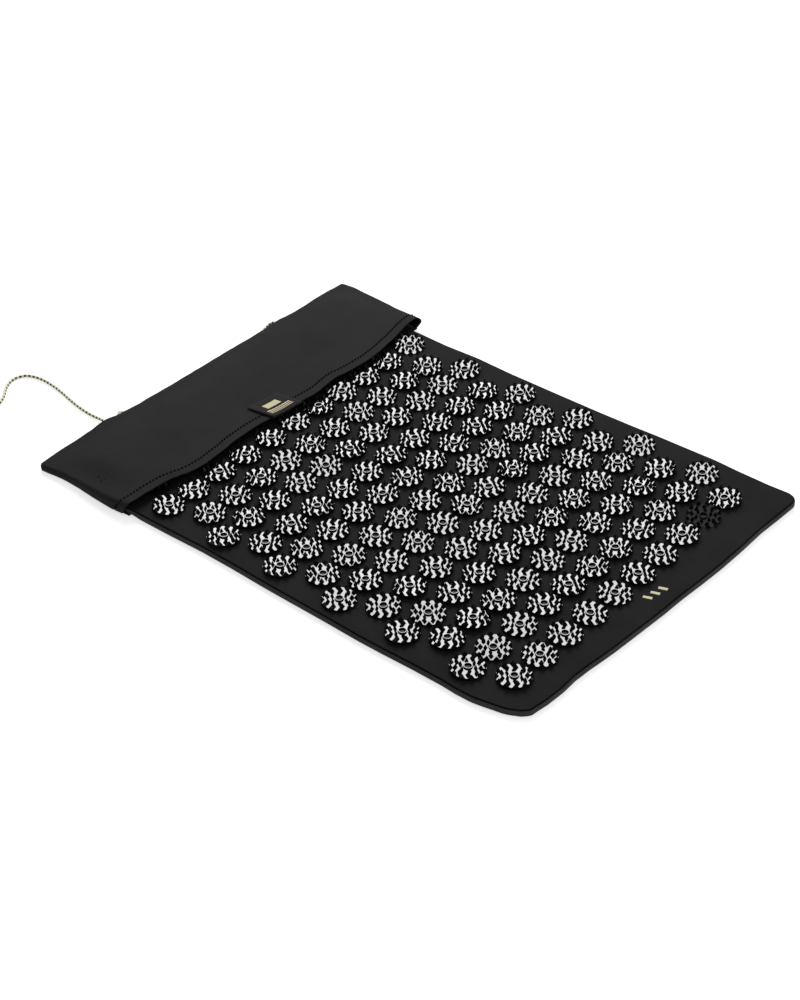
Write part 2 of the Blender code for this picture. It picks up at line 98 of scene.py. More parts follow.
def addNode(tree, kind, inputs=None, stops=(), **settings):
    node = tree.nodes.new("ShaderNode" + kind)
    for key, value in settings.items():
        setattr(node, key, value)
    feed(tree, node, inputs or {})
    if stops:                    # a colour ramp's places and colours
        elements = node.color_ramp.elements
        for element, (position, colour) in zip(elements, (stops[0], stops[-1])):
            element.position, element.color = position, hexColour(colour)
        for position, colour in stops[1:-1]:
            elements.new(position).color = hexColour(colour)
    return node


def bandScale(pitch):
    # A wave texture's bands lie tau / 20 / Scale apart.
    return math.tau / 20 / pitch


def smoothStep(value):
    value = min(1.0, max(0.0, value))
    return value * value * (3 - 2 * value)


def along(table, place):
    if place <= table[0][0]:
        return table[0][1]
    for (a, one), (b, two) in zip(table, table[1:]):
        if place <= b:
            return one + (two - one) * smoothStep((place - a) / (b - a))
    return table[-1][1]


def addObject(name, data):
    thing = bpy.data.objects.new(name, data)
    bpy.context.scene.collection.objects.link(thing)
    return thing


def meshFrom(name, bm):
    mesh = bpy.data.meshes.new(name)
    bm.to_mesh(mesh)
    bm.free()
    return mesh


def makePiece(name, bm, materials, body, nodes=(), sharpAngle=40):
    bm.normal_update()
    return makePieceFromMesh(name, meshFrom(name, bm), materials, body, nodes, sharpAngle)


def makePieceFromMesh(name, mesh, materials, body, nodes=(), sharpAngle=40):
    for material in materials:
        mesh.materials.append(material)
    mesh.shade_smooth()
    mesh.set_sharp_from_angle(angle=math.radians(sharpAngle))
    piece = addObject(name, mesh)
    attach(piece, body)
    if nodes:
        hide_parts(*nodes)
    return piece


def vertsOf(geometry):
    return [v for v in geometry if isinstance(v, bmesh.types.BMVert)]


def turnOutward(bm):
    bmesh.ops.recalc_face_normals(bm, faces=bm.faces[:])


def faceUp(bm, sample, sign=1):
    sample.normal_update()
    if sample.normal.z * sign < 0:
        bmesh.ops.reverse_faces(bm, faces=bm.faces[:])


def gridFaces(bm, rows):
    for one, two in zip(rows, rows[1:]):
        for k in range(len(one) - 1):
            bm.faces.new((one[k], one[k + 1], two[k + 1], two[k]))


def tubeFaces(bm, rings):
    gridFaces(bm, [[*ring, ring[0]] for ring in rings])
    bm.faces.new(rings[0])
    bm.faces.new(rings[-1][::-1])
    turnOutward(bm)


def addSolidify(piece, thickness, offset=-1):
    modifier = piece.modifiers.new("cloth thickness", "SOLIDIFY")
    modifier.thickness = thickness
    modifier.offset = offset
    modifier.use_quality_normals = True


def softNoise(x, y, size, seed=0.0):
    return noise.noise(Vector((x / size, y / size, seed)))


# Camera at the photograph's angle, placed from the mat's middle.
cameraSettings = {
    "offset": (1.0211, -1.1605, 1.1614),
    "azimuth": 42.14,
    "elevation": 37.18,
    "roll": -2.29,
    "lens": 73.27,
    "sensor": 36,
}


def makeCamera():
    data = bpy.data.cameras.new("photoCamera")
    data.lens = cameraSettings["lens"]
    data.sensor_width = cameraSettings["sensor"]
    data.clip_end = 50
    camera = addObject("photoCamera", data)
    turn = Matrix.Rotation(math.radians(cameraSettings["azimuth"]), 3, "Z")
    turn @= Matrix.Rotation(math.radians(90 - cameraSettings["elevation"]), 3, "X")
    turn @= Matrix.Rotation(math.radians(cameraSettings["roll"]), 3, "Z")
    camera.location = matMiddle + Vector(cameraSettings["offset"])
    camera.rotation_euler = turn.to_euler()
    bpy.context.scene.camera = camera


makeCamera()


# Tie cords. The routes repeat the solids' own, from where each cord leaves the sleeve.
cordSettings = {
    "diameter": 0.0034,
    "anchorToExit": 0.0079,      # from the middle of the knot inside to the sleeve's outside
    "inside": 0.0043,
    "exitHeight": 0.004,
    "step": 0.0012,
    "braidPitch": 0.0052,        # one dark fleck per pitch
    "knotStrand": 0.0029,
    "left": [
        (-0.003, 0.0, 0.004), (-0.008, 0.001, 0.0031), (-0.0145, 0.0016, 0.0021),
        (-0.0262, 0.0016, 0.0018), (-0.041, 0.003, 0.0018), (-0.058, 0.006, 0.0018),
        (-0.0762, 0.0101, 0.0018), (-0.0927, 0.0127, 0.0018), (-0.1077, 0.0136, 0.0018),
        (-0.12, 0.0122, 0.0018), (-0.1293, 0.0082, 0.0018), (-0.1338, 0.0018, 0.0018),
        (-0.1352, -0.0052, 0.0018), (-0.1332, -0.013, 0.0018), (-0.128, -0.0215, 0.0018),
        (-0.1198, -0.031, 0.0018), (-0.1138, -0.041, 0.0018), (-0.1105, -0.0515, 0.0018),
        (-0.1105, -0.0615, 0.0018), (-0.115, -0.07, 0.0019), (-0.1225, -0.0755, 0.0026),
    ],
    "right": [
        (-0.0023, 0.0, 0.0036), (-0.0043, -0.0014, 0.003), (-0.0052, -0.0045, 0.0024),
        (-0.0048, -0.0085, 0.002), (-0.0036, -0.0135, 0.0018), (-0.0022, -0.02, 0.0018),
        (-0.0016, -0.032, 0.0018), (-0.0018, -0.05, 0.0018), (-0.0021, -0.07, 0.0018),
        (-0.0024, -0.09, 0.0018), (-0.0028, -0.11, 0.0018), (-0.0031, -0.13, 0.0018),
        (-0.0034, -0.15, 0.0018), (-0.0037, -0.17, 0.0018), (-0.0041, -0.188, 0.0018),
        (-0.0046, -0.2, 0.0018), (-0.0055, -0.209, 0.0021), (-0.0066, -0.2145, 0.0025),
    ],
}


def smoothLine(points, step):
    padded = [2 * points[0] - points[1], *points, 2 * points[-1] - points[-2]]
    fine = []
    for p, a, b, q in zip(padded, padded[1:], padded[2:], padded[3:]):
        for k in range(12):
            t = k / 12
            fine.append(
                0.5 * (2 * a + (b - p) * t + (2 * p - 5 * a + 4 * b - q) * t * t
                       + (3 * a - p - 3 * b + q) * t * t * t)
            )
    fine.append(points[-1])
    length = sum((b - a).length for a, b in zip(fine, fine[1:]))
    count = max(2, round(length / step))
    line = [fine[0]]
    walked = 0.0
    for a, b in zip(fine, fine[1:]):
        piece = (b - a).length
        while len(line) < count and walked + piece >= length * len(line) / count:
            line.append(a.lerp(b, (length * len(line) / count - walked) / piece))
        walked += piece
    line.append(fine[-1])
    return line, length


def tubeMesh(name, line, diameter, closed=False):
    curve = bpy.data.curves.new(name, "CURVE")
    curve.dimensions = "3D"
    curve.bevel_depth = diameter / 2
    curve.bevel_resolution = 4
    curve.use_fill_caps = not closed
    spline = curve.splines.new("POLY")
    spline.points.add(len(line) - 1)
    for point, place in zip(spline.points, line):
        point.co = (*place, 1)
    spline.use_cyclic_u = closed
    holder = bpy.data.objects.new(name + "Curve", curve)
    mesh = bpy.data.meshes.new_from_object(holder)
    bpy.data.objects.remove(holder)
    mesh.name = name
    return mesh


def makeBraidMaterial(side, repeats):
    # Plaited polyester: pale gold satin yarns cross on the diagonal, and a dark tracer yarn
    # comes up once each pitch. The UV map runs from 0 to 1 along the cord and round it.
    tree, shader, material = newMaterial(f"braidedPolyesterCord_{side}")
    place = addNode(tree, "UVMap").outputs["UV"]
    scaled = addNode(
        tree, "Mapping", {"Scale": (repeats, 1.0, 1.0), "Vector": place}, vector_type="POINT"
    )
    parts = addNode(tree, "SeparateXYZ", {"Vector": scaled.outputs["Vector"]}).outputs
    waves = []
    for sign in (1, -1):
        turned = addNode(
            tree, "Math", {0: parts["Y"], 1: sign * 2.0, 2: parts["X"]}, operation="MULTIPLY_ADD"
        )
        angle = addNode(tree, "Math", {0: turned.outputs[0], 1: math.pi}, operation="MULTIPLY")
        waves.append(addNode(tree, "Math", {0: angle.outputs[0]}, operation="SINE").outputs[0])
    crossing = addNode(tree, "Math", {0: waves[0], 1: waves[1]}, operation="MULTIPLY").outputs[0]
    colour = addNode(
        tree, "ValToRGB", {"Fac": crossing}, [(0.0, "#fbf9df"), (0.34, "#ebe5b0"), (0.62, "#1a170d")]
    )
    bump = addNode(tree, "Bump", {"Strength": 0.5, "Distance": 0.0003, "Height": crossing})
    feed(tree, shader, {
        "Roughness": 0.55, "Sheen Weight": 0.25, "Sheen Roughness": 0.5,
        "Base Color": colour.outputs["Color"], "Normal": bump.outputs["Normal"],
    })
    return material


def tightKnot(name, node, strand):
    # A pulled-tight overhand knot: a trefoil line squeezed into the knot's own box.
    low, high = nodeBox(node)
    middle = (low + high) / 2
    half = (high - low) / 2 - Vector((strand, strand, strand)) / 2
    line = []
    for k in range(72):
        turn = math.tau * k / 72
        line.append(middle + Vector((
            half.x * (math.sin(turn) + 2 * math.sin(2 * turn)) / 2.7,
            half.y * (math.cos(turn) - 2 * math.cos(2 * turn)) / 2.8,
            half.z * -math.sin(3 * turn),
        )))
    return tubeMesh(name, line, strand, closed=True)


def makeCords():
    for side in ("left", "right"):
        anchor = boxMiddle(f"{side}_cord_anchor_knot")
        origin = Vector((anchor.x - cordSettings["anchorToExit"], anchor.y, 0))
        inside = cordSettings["inside"]
        start = Vector((inside, 0, cordSettings["exitHeight"]))
        points = [start, Vector((inside / 2, 0, start.z))]
        points += [Vector(p) for p in cordSettings[side]]
        line, length = smoothLine([origin + p for p in points], cordSettings["step"])
        material = makeBraidMaterial(side, length / cordSettings["braidPitch"])
        mesh = tubeMesh(f"{side}Cord", line, cordSettings["diameter"])
        piece = makePieceFromMesh(
            f"{side}Cord", mesh, [material], "sleeve", [f"{side}_cord"], 180
        )
        for end in ("end", "anchor"):
            node = f"{side}_cord_{end}_knot"
            knot = tightKnot(f"{side}{end.title()}Knot", node, cordSettings["knotStrand"])
            makePieceFromMesh(
                f"{side}{end.title()}Knot", knot, [material], "sleeve", [node], 180
            )
        print(f"{side} cord: {length:.4f} m")


makeCords()

# Plain studio: a pale floor, a dim even sky, one large soft box behind the mat and a strip at
# its near end.
stageSettings = {
    "floorSize": 12.0,
    "floorColour": "#e9e9e9",
    "floorLift": 0.62,           # added to the floor where the camera or a reflection sees it
    "skyColour": "#ffffff",
    "skyStrength": 0.35,
    # each box: direction from the mat, distance, size and radiance
    "boxes": {
        "softBox": ((-0.5345, 0.5908, 0.6043), 5.0, (3.6, 2.3), 6.5),   # mirrors the view in a level disc
        "stripBox": ((0.93, 0.15, 0.33), 2.2, (1.6, 0.7), 2.5),
    },
}


def softBox(name, direction, distance, size, radiance):
    lamp = bpy.data.lights.new(name, "AREA")
    lamp.shape = "RECTANGLE"
    lamp.size, lamp.size_y = size
    lamp.energy = radiance * math.pi * size[0] * size[1]
    way = Vector(direction).normalized()
    holder = addObject(name, lamp)
    holder.location = matMiddle + way * distance
    holder.rotation_euler = way.to_track_quat("Z", "Y").to_euler()
    holder.visible_camera = False


def makeStage():
    bm = bmesh.new()
    bmesh.ops.create_grid(bm, x_segments=1, y_segments=1, size=stageSettings["floorSize"] / 2)
    bmesh.ops.translate(bm, verts=bm.verts[:], vec=(matMiddle.x, matMiddle.y, -0.0003))
    floor = addObject("paleFloor", meshFrom("paleFloor", bm))
    tree, shader, material = newMaterial("mattPaperFloor")
    seen = addNode(tree, "LightPath").outputs
    direct = addNode(
        tree, "Math", {0: seen["Is Camera Ray"], 1: seen["Is Glossy Ray"]}, operation="MAXIMUM"
    )
    anySeen = addNode(
        tree, "Math", {0: direct.outputs[0], 1: seen["Is Transmission Ray"]}, operation="MAXIMUM"
    )
    lift = addNode(
        tree, "Math", {0: anySeen.outputs[0], 1: stageSettings["floorLift"]}, operation="MULTIPLY"
    )
    feed(tree, shader, {
        "Base Color": hexColour(stageSettings["floorColour"]), "Roughness": 0.9,
        "Specular IOR Level": 0.1, "Emission Color": (1, 1, 1, 1),
        "Emission Strength": lift.outputs[0],
    })
    floor.data.materials.append(material)

    world = bpy.data.worlds.new("evenSky")
    world.use_nodes = True
    feed(world.node_tree, world.node_tree.nodes["Background"], {
        "Color": hexColour(stageSettings["skyColour"]), "Strength": stageSettings["skyStrength"],
    })
    bpy.context.scene.world = world
    for name, settings in stageSettings["boxes"].items():
        softBox(name, *settings)
    bpy.context.scene.view_settings.view_transform = "Standard"


makeStage()
print("stage ready")


# Black satin-weave polyester: smooth threads 0.5 mm apart, drawn 1 mm apart so that the weave
# shows, in a dull and even black. The edge band is a lighter webbing, and its lighter tone also
# holds painted sheen, the light its rounded edge catches.
clothLooks = {
    "cover": {"dark": "#1c1c1c", "light": "#222222", "roughness": 0.65, "weave": 0.001},
    "sleeve": {"dark": "#242424", "light": "#292929", "roughness": 0.65, "weave": 0.001},
    # band: lighter webbing, its tone partly painted sheen
    "band": {"dark": "#383838", "light": "#444444", "roughness": 0.6, "weave": 0.001},
}


def makeCloth(key):
    look = clothLooks[key]
    tree, shader, material = newMaterial(f"wovenPolyester_{key}")
    place = addNode(tree, "TexCoord").outputs["Object"]
    threads = [
        addNode(tree, "TexWave", {"Scale": bandScale(look["weave"]), "Vector": place}, bands_direction=way)
        for way in ("X", "Y")
    ]
    crossing = addNode(
        tree, "Math", {0: threads[0].outputs["Fac"], 1: threads[1].outputs["Fac"]}, operation="MULTIPLY"
    )
    patches = addNode(tree, "TexNoise", {"Scale": 22.0, "Detail": 3.0, "Roughness": 0.6, "Vector": place})
    lint = addNode(tree, "TexNoise", {"Scale": 900.0, "Detail": 2.0, "Vector": place})
    mixed = addNode(
        tree, "Math", {0: lint.outputs["Fac"], 1: 0.25, 2: patches.outputs["Fac"]}, operation="MULTIPLY_ADD"
    )
    colour = addNode(
        tree, "ValToRGB", {"Fac": mixed.outputs[0]}, [(0.42, look["dark"]), (0.75, look["light"])]
    )
    bump = addNode(tree, "Bump", {"Strength": 0.35, "Distance": 0.0001, "Height": crossing.outputs[0]})
    feed(tree, shader, {
        "Roughness": look["roughness"], "Specular IOR Level": 0.04,
        "Sheen Weight": 0.02, "Sheen Roughness": 0.4,
        "Base Color": colour.outputs["Color"], "Normal": bump.outputs["Normal"],
    })
    return material


# Sewing thread: matt black polyester, two twisted plies. It is painted darker than the cloth as painted
# shade, so that the grooves and needle holes the stitches lie in read as dark lines.
def makeThreadWithPaintedShade():
    tree, shader, material = newMaterial("twistedThreadWithPaintedShade")
    place = addNode(tree, "TexCoord").outputs["Object"]
    turned = addNode(tree, "Mapping", {"Rotation": (0.3, 0.6, 0.8), "Vector": place})
    plies = addNode(
        tree, "TexWave",
        {"Scale": bandScale(0.0006), "Distortion": 0.5, "Vector": turned.outputs["Vector"]},
        bands_direction="DIAGONAL",
    )
    # painted shade: near-black, well below the cloth's own black, for the shade of the thread's groove
    colour = addNode(
        tree, "ValToRGB", {"Fac": plies.outputs["Fac"]}, [(0.0, "#060607"), (1.0, "#0f0f10")]
    )
    feed(tree, shader, {
        "Roughness": 0.7, "Specular IOR Level": 0.04, "Base Color": colour.outputs["Color"],
    })
    return material


# Open-cell polyurethane foam, cut in a sheet: grey and full of small pores.
def makeFoam():
    tree, shader, material = newMaterial("cutPolyurethaneFoam")
    place = addNode(tree, "TexCoord").outputs["Object"]
    depth = addNode(tree, "TexVoronoi", {"Scale": 700.0, "Vector": place}).outputs["Distance"]
    colour = addNode(tree, "ValToRGB", {"Fac": depth}, [(0.0, "#5b5b5d"), (1.0, "#8c8c8e")])
    bump = addNode(tree, "Bump", {"Strength": 0.6, "Distance": 0.0005, "Height": depth})
    feed(tree, shader, {
        "Roughness": 0.95,
        "Base Color": colour.outputs["Color"], "Normal": bump.outputs["Normal"],
    })
    return material


coverCloth = makeCloth("cover")
bandClothWithPaintedSheen = makeCloth("band")
sleeveCloth = makeCloth("sleeve")
threadWithPaintedShade = makeThreadWithPaintedShade()
foamMaterial = makeFoam()


mat = {
    "grid": 0.0045,
    "topInset": 0.0016,
    "rollWidth": 0.0007,         # the cover rolls over into the seam's groove
    "rollDrop": 0.0006,
    "rollSteps": (0.0001, 0.0002, 0.0002, 0.0003, 0.001),
    "crownWidth": 0.008,         # the cover rounds down towards its seam in this width
    "crownDrop": 0.0001,
    "grooveDepth": 0.0022,
    "clothThickness": 0.0007,
    "unevenness": 0.00022,
    "overLowerCloth": 0.0003,
    "bottomInset": 0.003,
    "foamInset": 0.0064,
    "foamGaps": (0.0011, 0.0012),   # under and over the foam
    "hiddenGrid": 0.012,
    "hiddenEdge": 0.02,
    "bandLow": 0.0004,
    "bandTop": 0.006,
    "bandRound": 0.0011,
    "flangeWidth": 0.0035,       # the band's own edge, out of sight under the cover
    "flangeReach": (0.28, 0.2),  # half the mat's length and width
    "edgeWave": 0.0007,
    "stitchInset": 0.0013,
    "stitchHeight": 0.0059,
    "stitchLoop": 0.006,         # the outline is cut this fine before it is smoothed
    "stitchPitch": 0.0031,
    "stitchLength": 0.0027,
    "stitchWidth": 0.0011,
}
nearMiddle = bandLow.x + matPlaces["length"]

# The sewn outline is not quite straight: inward drift along the left and right sides by place
# along the mat, and outward drift along the near end by place across it. These numbers were
# measured outside this script.
outlineDrift = {
    "fade": 0.06,
    "left": [
        (-0.175, 0.0005), (-0.135, 0.0012), (-0.097, 0.0025), (-0.058, 0.0022), (-0.02, 0.0011),
        (0.0, 0.0008), (0.054, 0.0004), (0.098, -0.0004), (0.124, -0.0001), (0.158, 0.001),
        (0.19, 0.0012), (0.207, 0.0003), (0.223, 0.0008), (0.234, 0.0026), (0.2447, 0.0048),
        (0.2538, 0.0064), (0.2606, 0.0086), (0.2666, 0.0117), (0.2693, 0.0126), (0.2719, 0.0135),
        (0.2744, 0.0139), (0.28, 0.0131),
    ],
    "right": [
        (-0.166, -0.0002), (-0.135, 0.0006), (-0.095, -0.001), (-0.05, 0.0006), (0.01, 0.0007),
        (0.06, 0.0005), (0.104, -0.0004), (0.13, -0.0016), (0.172, -0.0023), (0.195, -0.0029),
        (0.224, -0.0015), (0.257, -0.0009), (0.278, -0.0017),
    ],
    "near": [
        (-0.183, -0.004), (-0.176, -0.0036), (-0.163, -0.0023), (-0.142, -0.0023), (-0.126, -0.0037),
        (-0.107, -0.0032), (-0.091, -0.0019), (-0.074, -0.0009), (-0.041, 0.0), (-0.008, 0.0008),
        (0.017, 0.0005), (0.046, 0.0014), (0.075, 0.0017), (0.107, 0.0008), (0.141, -0.0012),
        (0.173, -0.0008), (0.19, -0.0009),
    ],
}


def drawnAlong(table, place):
    points = [(a, b) for a, b in table if a <= place][-1:] + [(a, b) for a, b in table if a > place][:1]
    if len(points) < 2:
        return points[0][1]
    (a, one), (b, two) = points
    return one + (two - one) * (place - a) / (b - a)


def driftOutline(bm):
    half = matPlaces["skew"] / 2
    width = (bandHigh.y - bandLow.y) / 2
    for vert in bm.verts:
        x, y = vert.co.x - matMiddle.x, vert.co.y - matMiddle.y
        fades = [1 - smoothStep(abs(y - side * width) / outlineDrift["fade"]) for side in (-1, 1)]
        y += fades[0] * drawnAlong(outlineDrift["left"], x) - fades[1] * drawnAlong(outlineDrift["right"], x)
        end = nearMiddle - matMiddle.x + half * y / width
        x += (1 - smoothStep((end - x) / outlineDrift["fade"])) * drawnAlong(outlineDrift["near"], y)
        vert.co.x, vert.co.y = matMiddle.x + x, matMiddle.y + y


def matCorners(inset):
    half = matPlaces["skew"] / 2
    left, right = bandLow.y + inset, bandHigh.y - inset
    return [
        (bandLow.x + inset, left), (nearMiddle - half - inset, left),
        (nearMiddle + half - inset, right), (bandLow.x + inset, right),
    ]


def matFace(bm, inset, height, edgeStep=0.004):
    corners = [bm.verts.new((x, y, height)) for x, y in matCorners(inset)]
    bm.faces.new(corners)
    for corner, radius in zip(corners, matPlaces["cornerRadii"]):
        bmesh.ops.bevel(
            bm, geom=[corner], offset=max(0.0005, radius - inset), offset_type="OFFSET", affect="VERTICES",
            segments=12, profile=0.5, material=-1,
        )
    for edge in [e for e in bm.edges if e.calc_length() > 3 * edgeStep]:
        bmesh.ops.subdivide_edges(bm, edges=[edge], cuts=int(edge.calc_length() / edgeStep))


def underside(x):
    gap = mat["overLowerCloth"]
    rise = lowerClothHigh.z + gap
    return rise * (1 - smoothStep((x - lowerClothHigh.x - gap) / matPlaces["rampLength"]))


def cutGrid(bm, step):
    for axis in (0, 1):
        low = min(v.co[axis] for v in bm.verts)
        high = max(v.co[axis] for v in bm.verts)
        normal = Vector((1, 0, 0)) if axis == 0 else Vector((0, 1, 0))
        count = int((high - low) / step)
        for k in range(1, count):
            place = normal * (low + (high - low) * k / count)
            bmesh.ops.bisect_plane(
                bm, geom=bm.verts[:] + bm.edges[:] + bm.faces[:], dist=0.00002,
                plane_co=place, plane_no=normal,
            )


def edgeDistance(point, outline):
    best = 1.0
    for a, b in zip(outline, outline[1:] + outline[:1]):
        side = b - a
        share = min(1.0, max(0.0, (point - a).dot(side) / side.length_squared))
        best = min(best, (point - a - side * share).length)
    return best


def coarseOutline(inset):
    bm = bmesh.new()
    matFace(bm, inset, 0, 0.5)
    outline = [loop.vert.co.xy.copy() for loop in list(bm.faces)[0].loops]
    bm.free()
    return outline


def discSpots():
    spots = []
    for row, name in enumerate(rowNames):
        low, high = nodeBox(name)
        diameter = high.x - low.x
        middle = (low + high) / 2
        count = 11 - row % 2
        pitch = (high.y - low.y - diameter) / (count - 1)
        spots.append([
            Vector((middle.x, low.y + diameter / 2 + pitch * k, low.z)) for k in range(count)
        ])
    return spots


spots = discSpots()


def coverHeight(x, y, distance):
    drop = mat["crownDrop"] * (1 - smoothStep(distance / mat["crownWidth"]))
    left = 1 - min(1.0, distance / mat["rollWidth"])
    drop += mat["rollDrop"] * (1 - math.sqrt(1 - left * left))
    uneven = softNoise(x, y, 0.045) + 0.5 * softNoise(x, y, 0.018, 3.0)
    away = min(1.0, distance / 0.01)
    return -drop + mat["unevenness"] * uneven * away


def makeMatTop():
    bm = bmesh.new()
    matFace(bm, mat["topInset"], matTop)
    inner = bm.faces[:]
    for step in mat["rollSteps"]:
        bmesh.ops.inset_region(bm, faces=inner, thickness=step, use_even_offset=True, use_boundary=True)
    cutGrid(bm, mat["grid"])
    outline = coarseOutline(mat["topInset"])
    for vert in bm.verts:
        distance = edgeDistance(vert.co.xy, outline)
        if distance < mat["rollSteps"][0] * 0.6:
            distance = 0
        vert.co.z += coverHeight(vert.co.x, vert.co.y, distance)
    turnOutward(bm)
    faceUp(bm, bm.faces[:][0])
    driftOutline(bm)
    piece = makePiece("matTopCover", bm, [coverCloth], "mat", ["mat_top_panel"], 60)
    addSolidify(piece, mat["clothThickness"])


def makeFoamSlab():
    bm = bmesh.new()
    low, high = nodeBox("foam_core")
    below, above = mat["foamGaps"]
    matFace(bm, mat["foamInset"], low.z, mat["hiddenEdge"])
    cutGrid(bm, mat["hiddenGrid"])
    upper = vertsOf(bmesh.ops.extrude_face_region(bm, geom=bm.faces[:])["geom"])
    for vert in bm.verts:
        vert.co.z = below + underside(vert.co.x)
    for vert in upper:
        vert.co.z = high.z - above
    turnOutward(bm)
    driftOutline(bm)
    piece = makePiece("matFoam", bm, [foamMaterial], "mat", ["foam_core"], 30)


def makeBottomCover():
    bm = bmesh.new()
    matFace(bm, mat["bottomInset"], 0, mat["hiddenEdge"])
    cutGrid(bm, mat["hiddenGrid"])
    for vert in bm.verts:
        vert.co.z = underside(vert.co.x)
    turnOutward(bm)
    faceUp(bm, bm.faces[:][0], -1)
    driftOutline(bm)
    piece = makePiece("matBottomCover", bm, [coverCloth], "mat", ["mat_bottom_panel"], 60)
    addSolidify(piece, mat["clothThickness"])


def makeEdgeBand():
    bm = bmesh.new()
    low = mat["bandLow"]
    high = mat["bandTop"]
    matFace(bm, 0, low)
    grown = bmesh.ops.extrude_face_region(bm, geom=bm.faces[:])["geom"]
    bmesh.ops.translate(bm, verts=vertsOf(grown), vec=(0, 0, high - low))
    flat = [f for f in bm.faces if abs(f.normal.z) > 0.9 or len(f.verts) > 4]
    rims = list({e for f in flat for e in f.edges})
    bmesh.ops.bevel(
        bm, geom=rims, offset=mat["bandRound"], offset_type="OFFSET", affect="EDGES",
        segments=5, profile=0.5, material=-1,
    )
    lids = [f for f in bm.faces if len(f.verts) > 8]
    lidEdges = sorted(lids, key=lambda f: f.calc_center_median().z)[-1].edges[:]
    bmesh.ops.delete(bm, geom=lids, context="FACES_ONLY")
    groove = bmesh.ops.extrude_edge_only(bm, edges=lidEdges)["geom"]
    bmesh.ops.translate(bm, verts=vertsOf(groove), vec=(0, 0, -mat["grooveDepth"]))
    floorEdges = [e for e in groove if isinstance(e, bmesh.types.BMEdge)]
    inward = bmesh.ops.extrude_edge_only(bm, edges=floorEdges)["geom"]
    middle = Vector(((bandLow.x + nearMiddle) / 2, matMiddle.y, 0))
    shrink = [1 - mat["flangeWidth"] / reach for reach in mat["flangeReach"]]
    bmesh.ops.scale(bm, verts=vertsOf(inward), vec=(*shrink, 1), space=Matrix.Translation(-middle))
    for vert in bm.verts:
        share = (vert.co.z - low) / (high - low)
        wave = softNoise(vert.co.x, vert.co.y, 0.05, 7.0) * mat["edgeWave"]
        wave *= math.sin(math.pi * min(1.0, max(0.0, share)))
        vert.co.xy += (vert.co.xy - matMiddle.xy).normalized() * wave
        vert.co.z += underside(vert.co.x) * (1 - min(1.0, share * 1.4))
    turnOutward(bm)
    driftOutline(bm)
    piece = makePiece("matEdgeBand", bm, [bandClothWithPaintedSheen], "mat", ["mat_edge_band"], 60)
    addSolidify(piece, mat["clothThickness"])


def stitchAt(bm, place, way, up, length, width):
    turn = Matrix((way, up.cross(way).normalized(), up)).transposed().to_4x4()
    move = Matrix.Translation(place) @ turn @ Matrix.Diagonal((length, width, width, 1))
    bmesh.ops.create_icosphere(bm, subdivisions=1, radius=0.5, matrix=move)


def fineLoop(outline, step):
    points = []
    for a, b in zip(outline, outline[1:] + outline[:1]):
        count = max(1, int((b - a).length / step))
        points += [a.lerp(b, k / count) for k in range(count)]
    return points + [outline[0]]


def makeEdgeStitches():
    bm = bmesh.new()
    loop = fineLoop(coarseOutline(mat["stitchInset"]), mat["stitchLoop"])
    line, length = smoothLine([Vector((*p, 0)) for p in loop], mat["stitchPitch"])
    size = mat["stitchLength"], mat["stitchWidth"]
    for a, b in zip(line, line[1:]):
        middle = Vector((*((a + b) / 2).xy, mat["stitchHeight"]))
        stitchAt(bm, middle, (b - a).normalized(), Vector((0, 0, 1)), *size)
    driftOutline(bm)
    makePiece("matEdgeStitches", bm, [threadWithPaintedShade], "mat", ["mat_edge_stitching"], 180)


# A plain mark near the mat's near end: three short bars in satin stitch.
markSettings = {
    "bars": 3,
    "first": (0.2632, -0.0045),
    "step": (0.0018, 0.0092),
    "length": 0.0085,
    "width": 0.0032,
    "turn": 20.0,
    "thickness": 0.00025,
    "columns": 6,
    "fromSeam": 0.01,            # far enough for the cover to be level
    # across the bar and up, as shares of its width and thickness
    "section": ((-0.5, -1), (-0.5, 0.3), (-0.25, 1), (0.25, 1), (0.5, 0.3), (0.5, -1)),
}


def makeGoldThread():
    # Rayon embroidery thread laid side by side: pale gold, with a soft shine.
    tree, shader, material = newMaterial("satinStitchGoldThread")
    place = addNode(tree, "TexCoord").outputs["Object"]
    wave = addNode(
        tree, "TexWave", {"Scale": bandScale(0.0004), "Vector": place}, bands_direction="DIAGONAL"
    )
    rows = wave.outputs["Fac"]
    colour = addNode(tree, "ValToRGB", {"Fac": rows}, [(0.0, "#d8cfa4"), (1.0, "#f2ebc8")])
    bump = addNode(tree, "Bump", {"Strength": 0.3, "Distance": 0.0001, "Height": rows})
    feed(tree, shader, {
        "Roughness": 0.5, "Specular IOR Level": 0.2,
        "Base Color": colour.outputs["Color"], "Normal": bump.outputs["Normal"],
    })
    return material


def makeMark():
    bm = bmesh.new()
    settings = markSettings
    turn = math.radians(settings["turn"])
    way, side = Vector((math.cos(turn), math.sin(turn))), Vector((-math.sin(turn), math.cos(turn)))
    for bar in range(settings["bars"]):
        middle = Vector(settings["first"]) + bar * Vector(settings["step"])
        rings = []
        for k in range(settings["columns"] + 1):
            rib = middle + way * settings["length"] * (k / settings["columns"] - 0.5)
            ring = []
            for reach, rise in settings["section"]:
                spot = rib + side * settings["width"] * reach + matMiddle.xy
                height = matTop + coverHeight(spot.x, spot.y, settings["fromSeam"])
                ring.append(bm.verts.new((*spot, height + rise * settings["thickness"])))
            rings.append(ring)
        tubeFaces(bm, rings)
    makePiece("goldBars", bm, [makeGoldThread()], "mat", (), 50)


makeMatTop()
makeMark()
makeFoamSlab()
makeBottomCover()
makeEdgeBand()
makeEdgeStitches()
print("mat made")


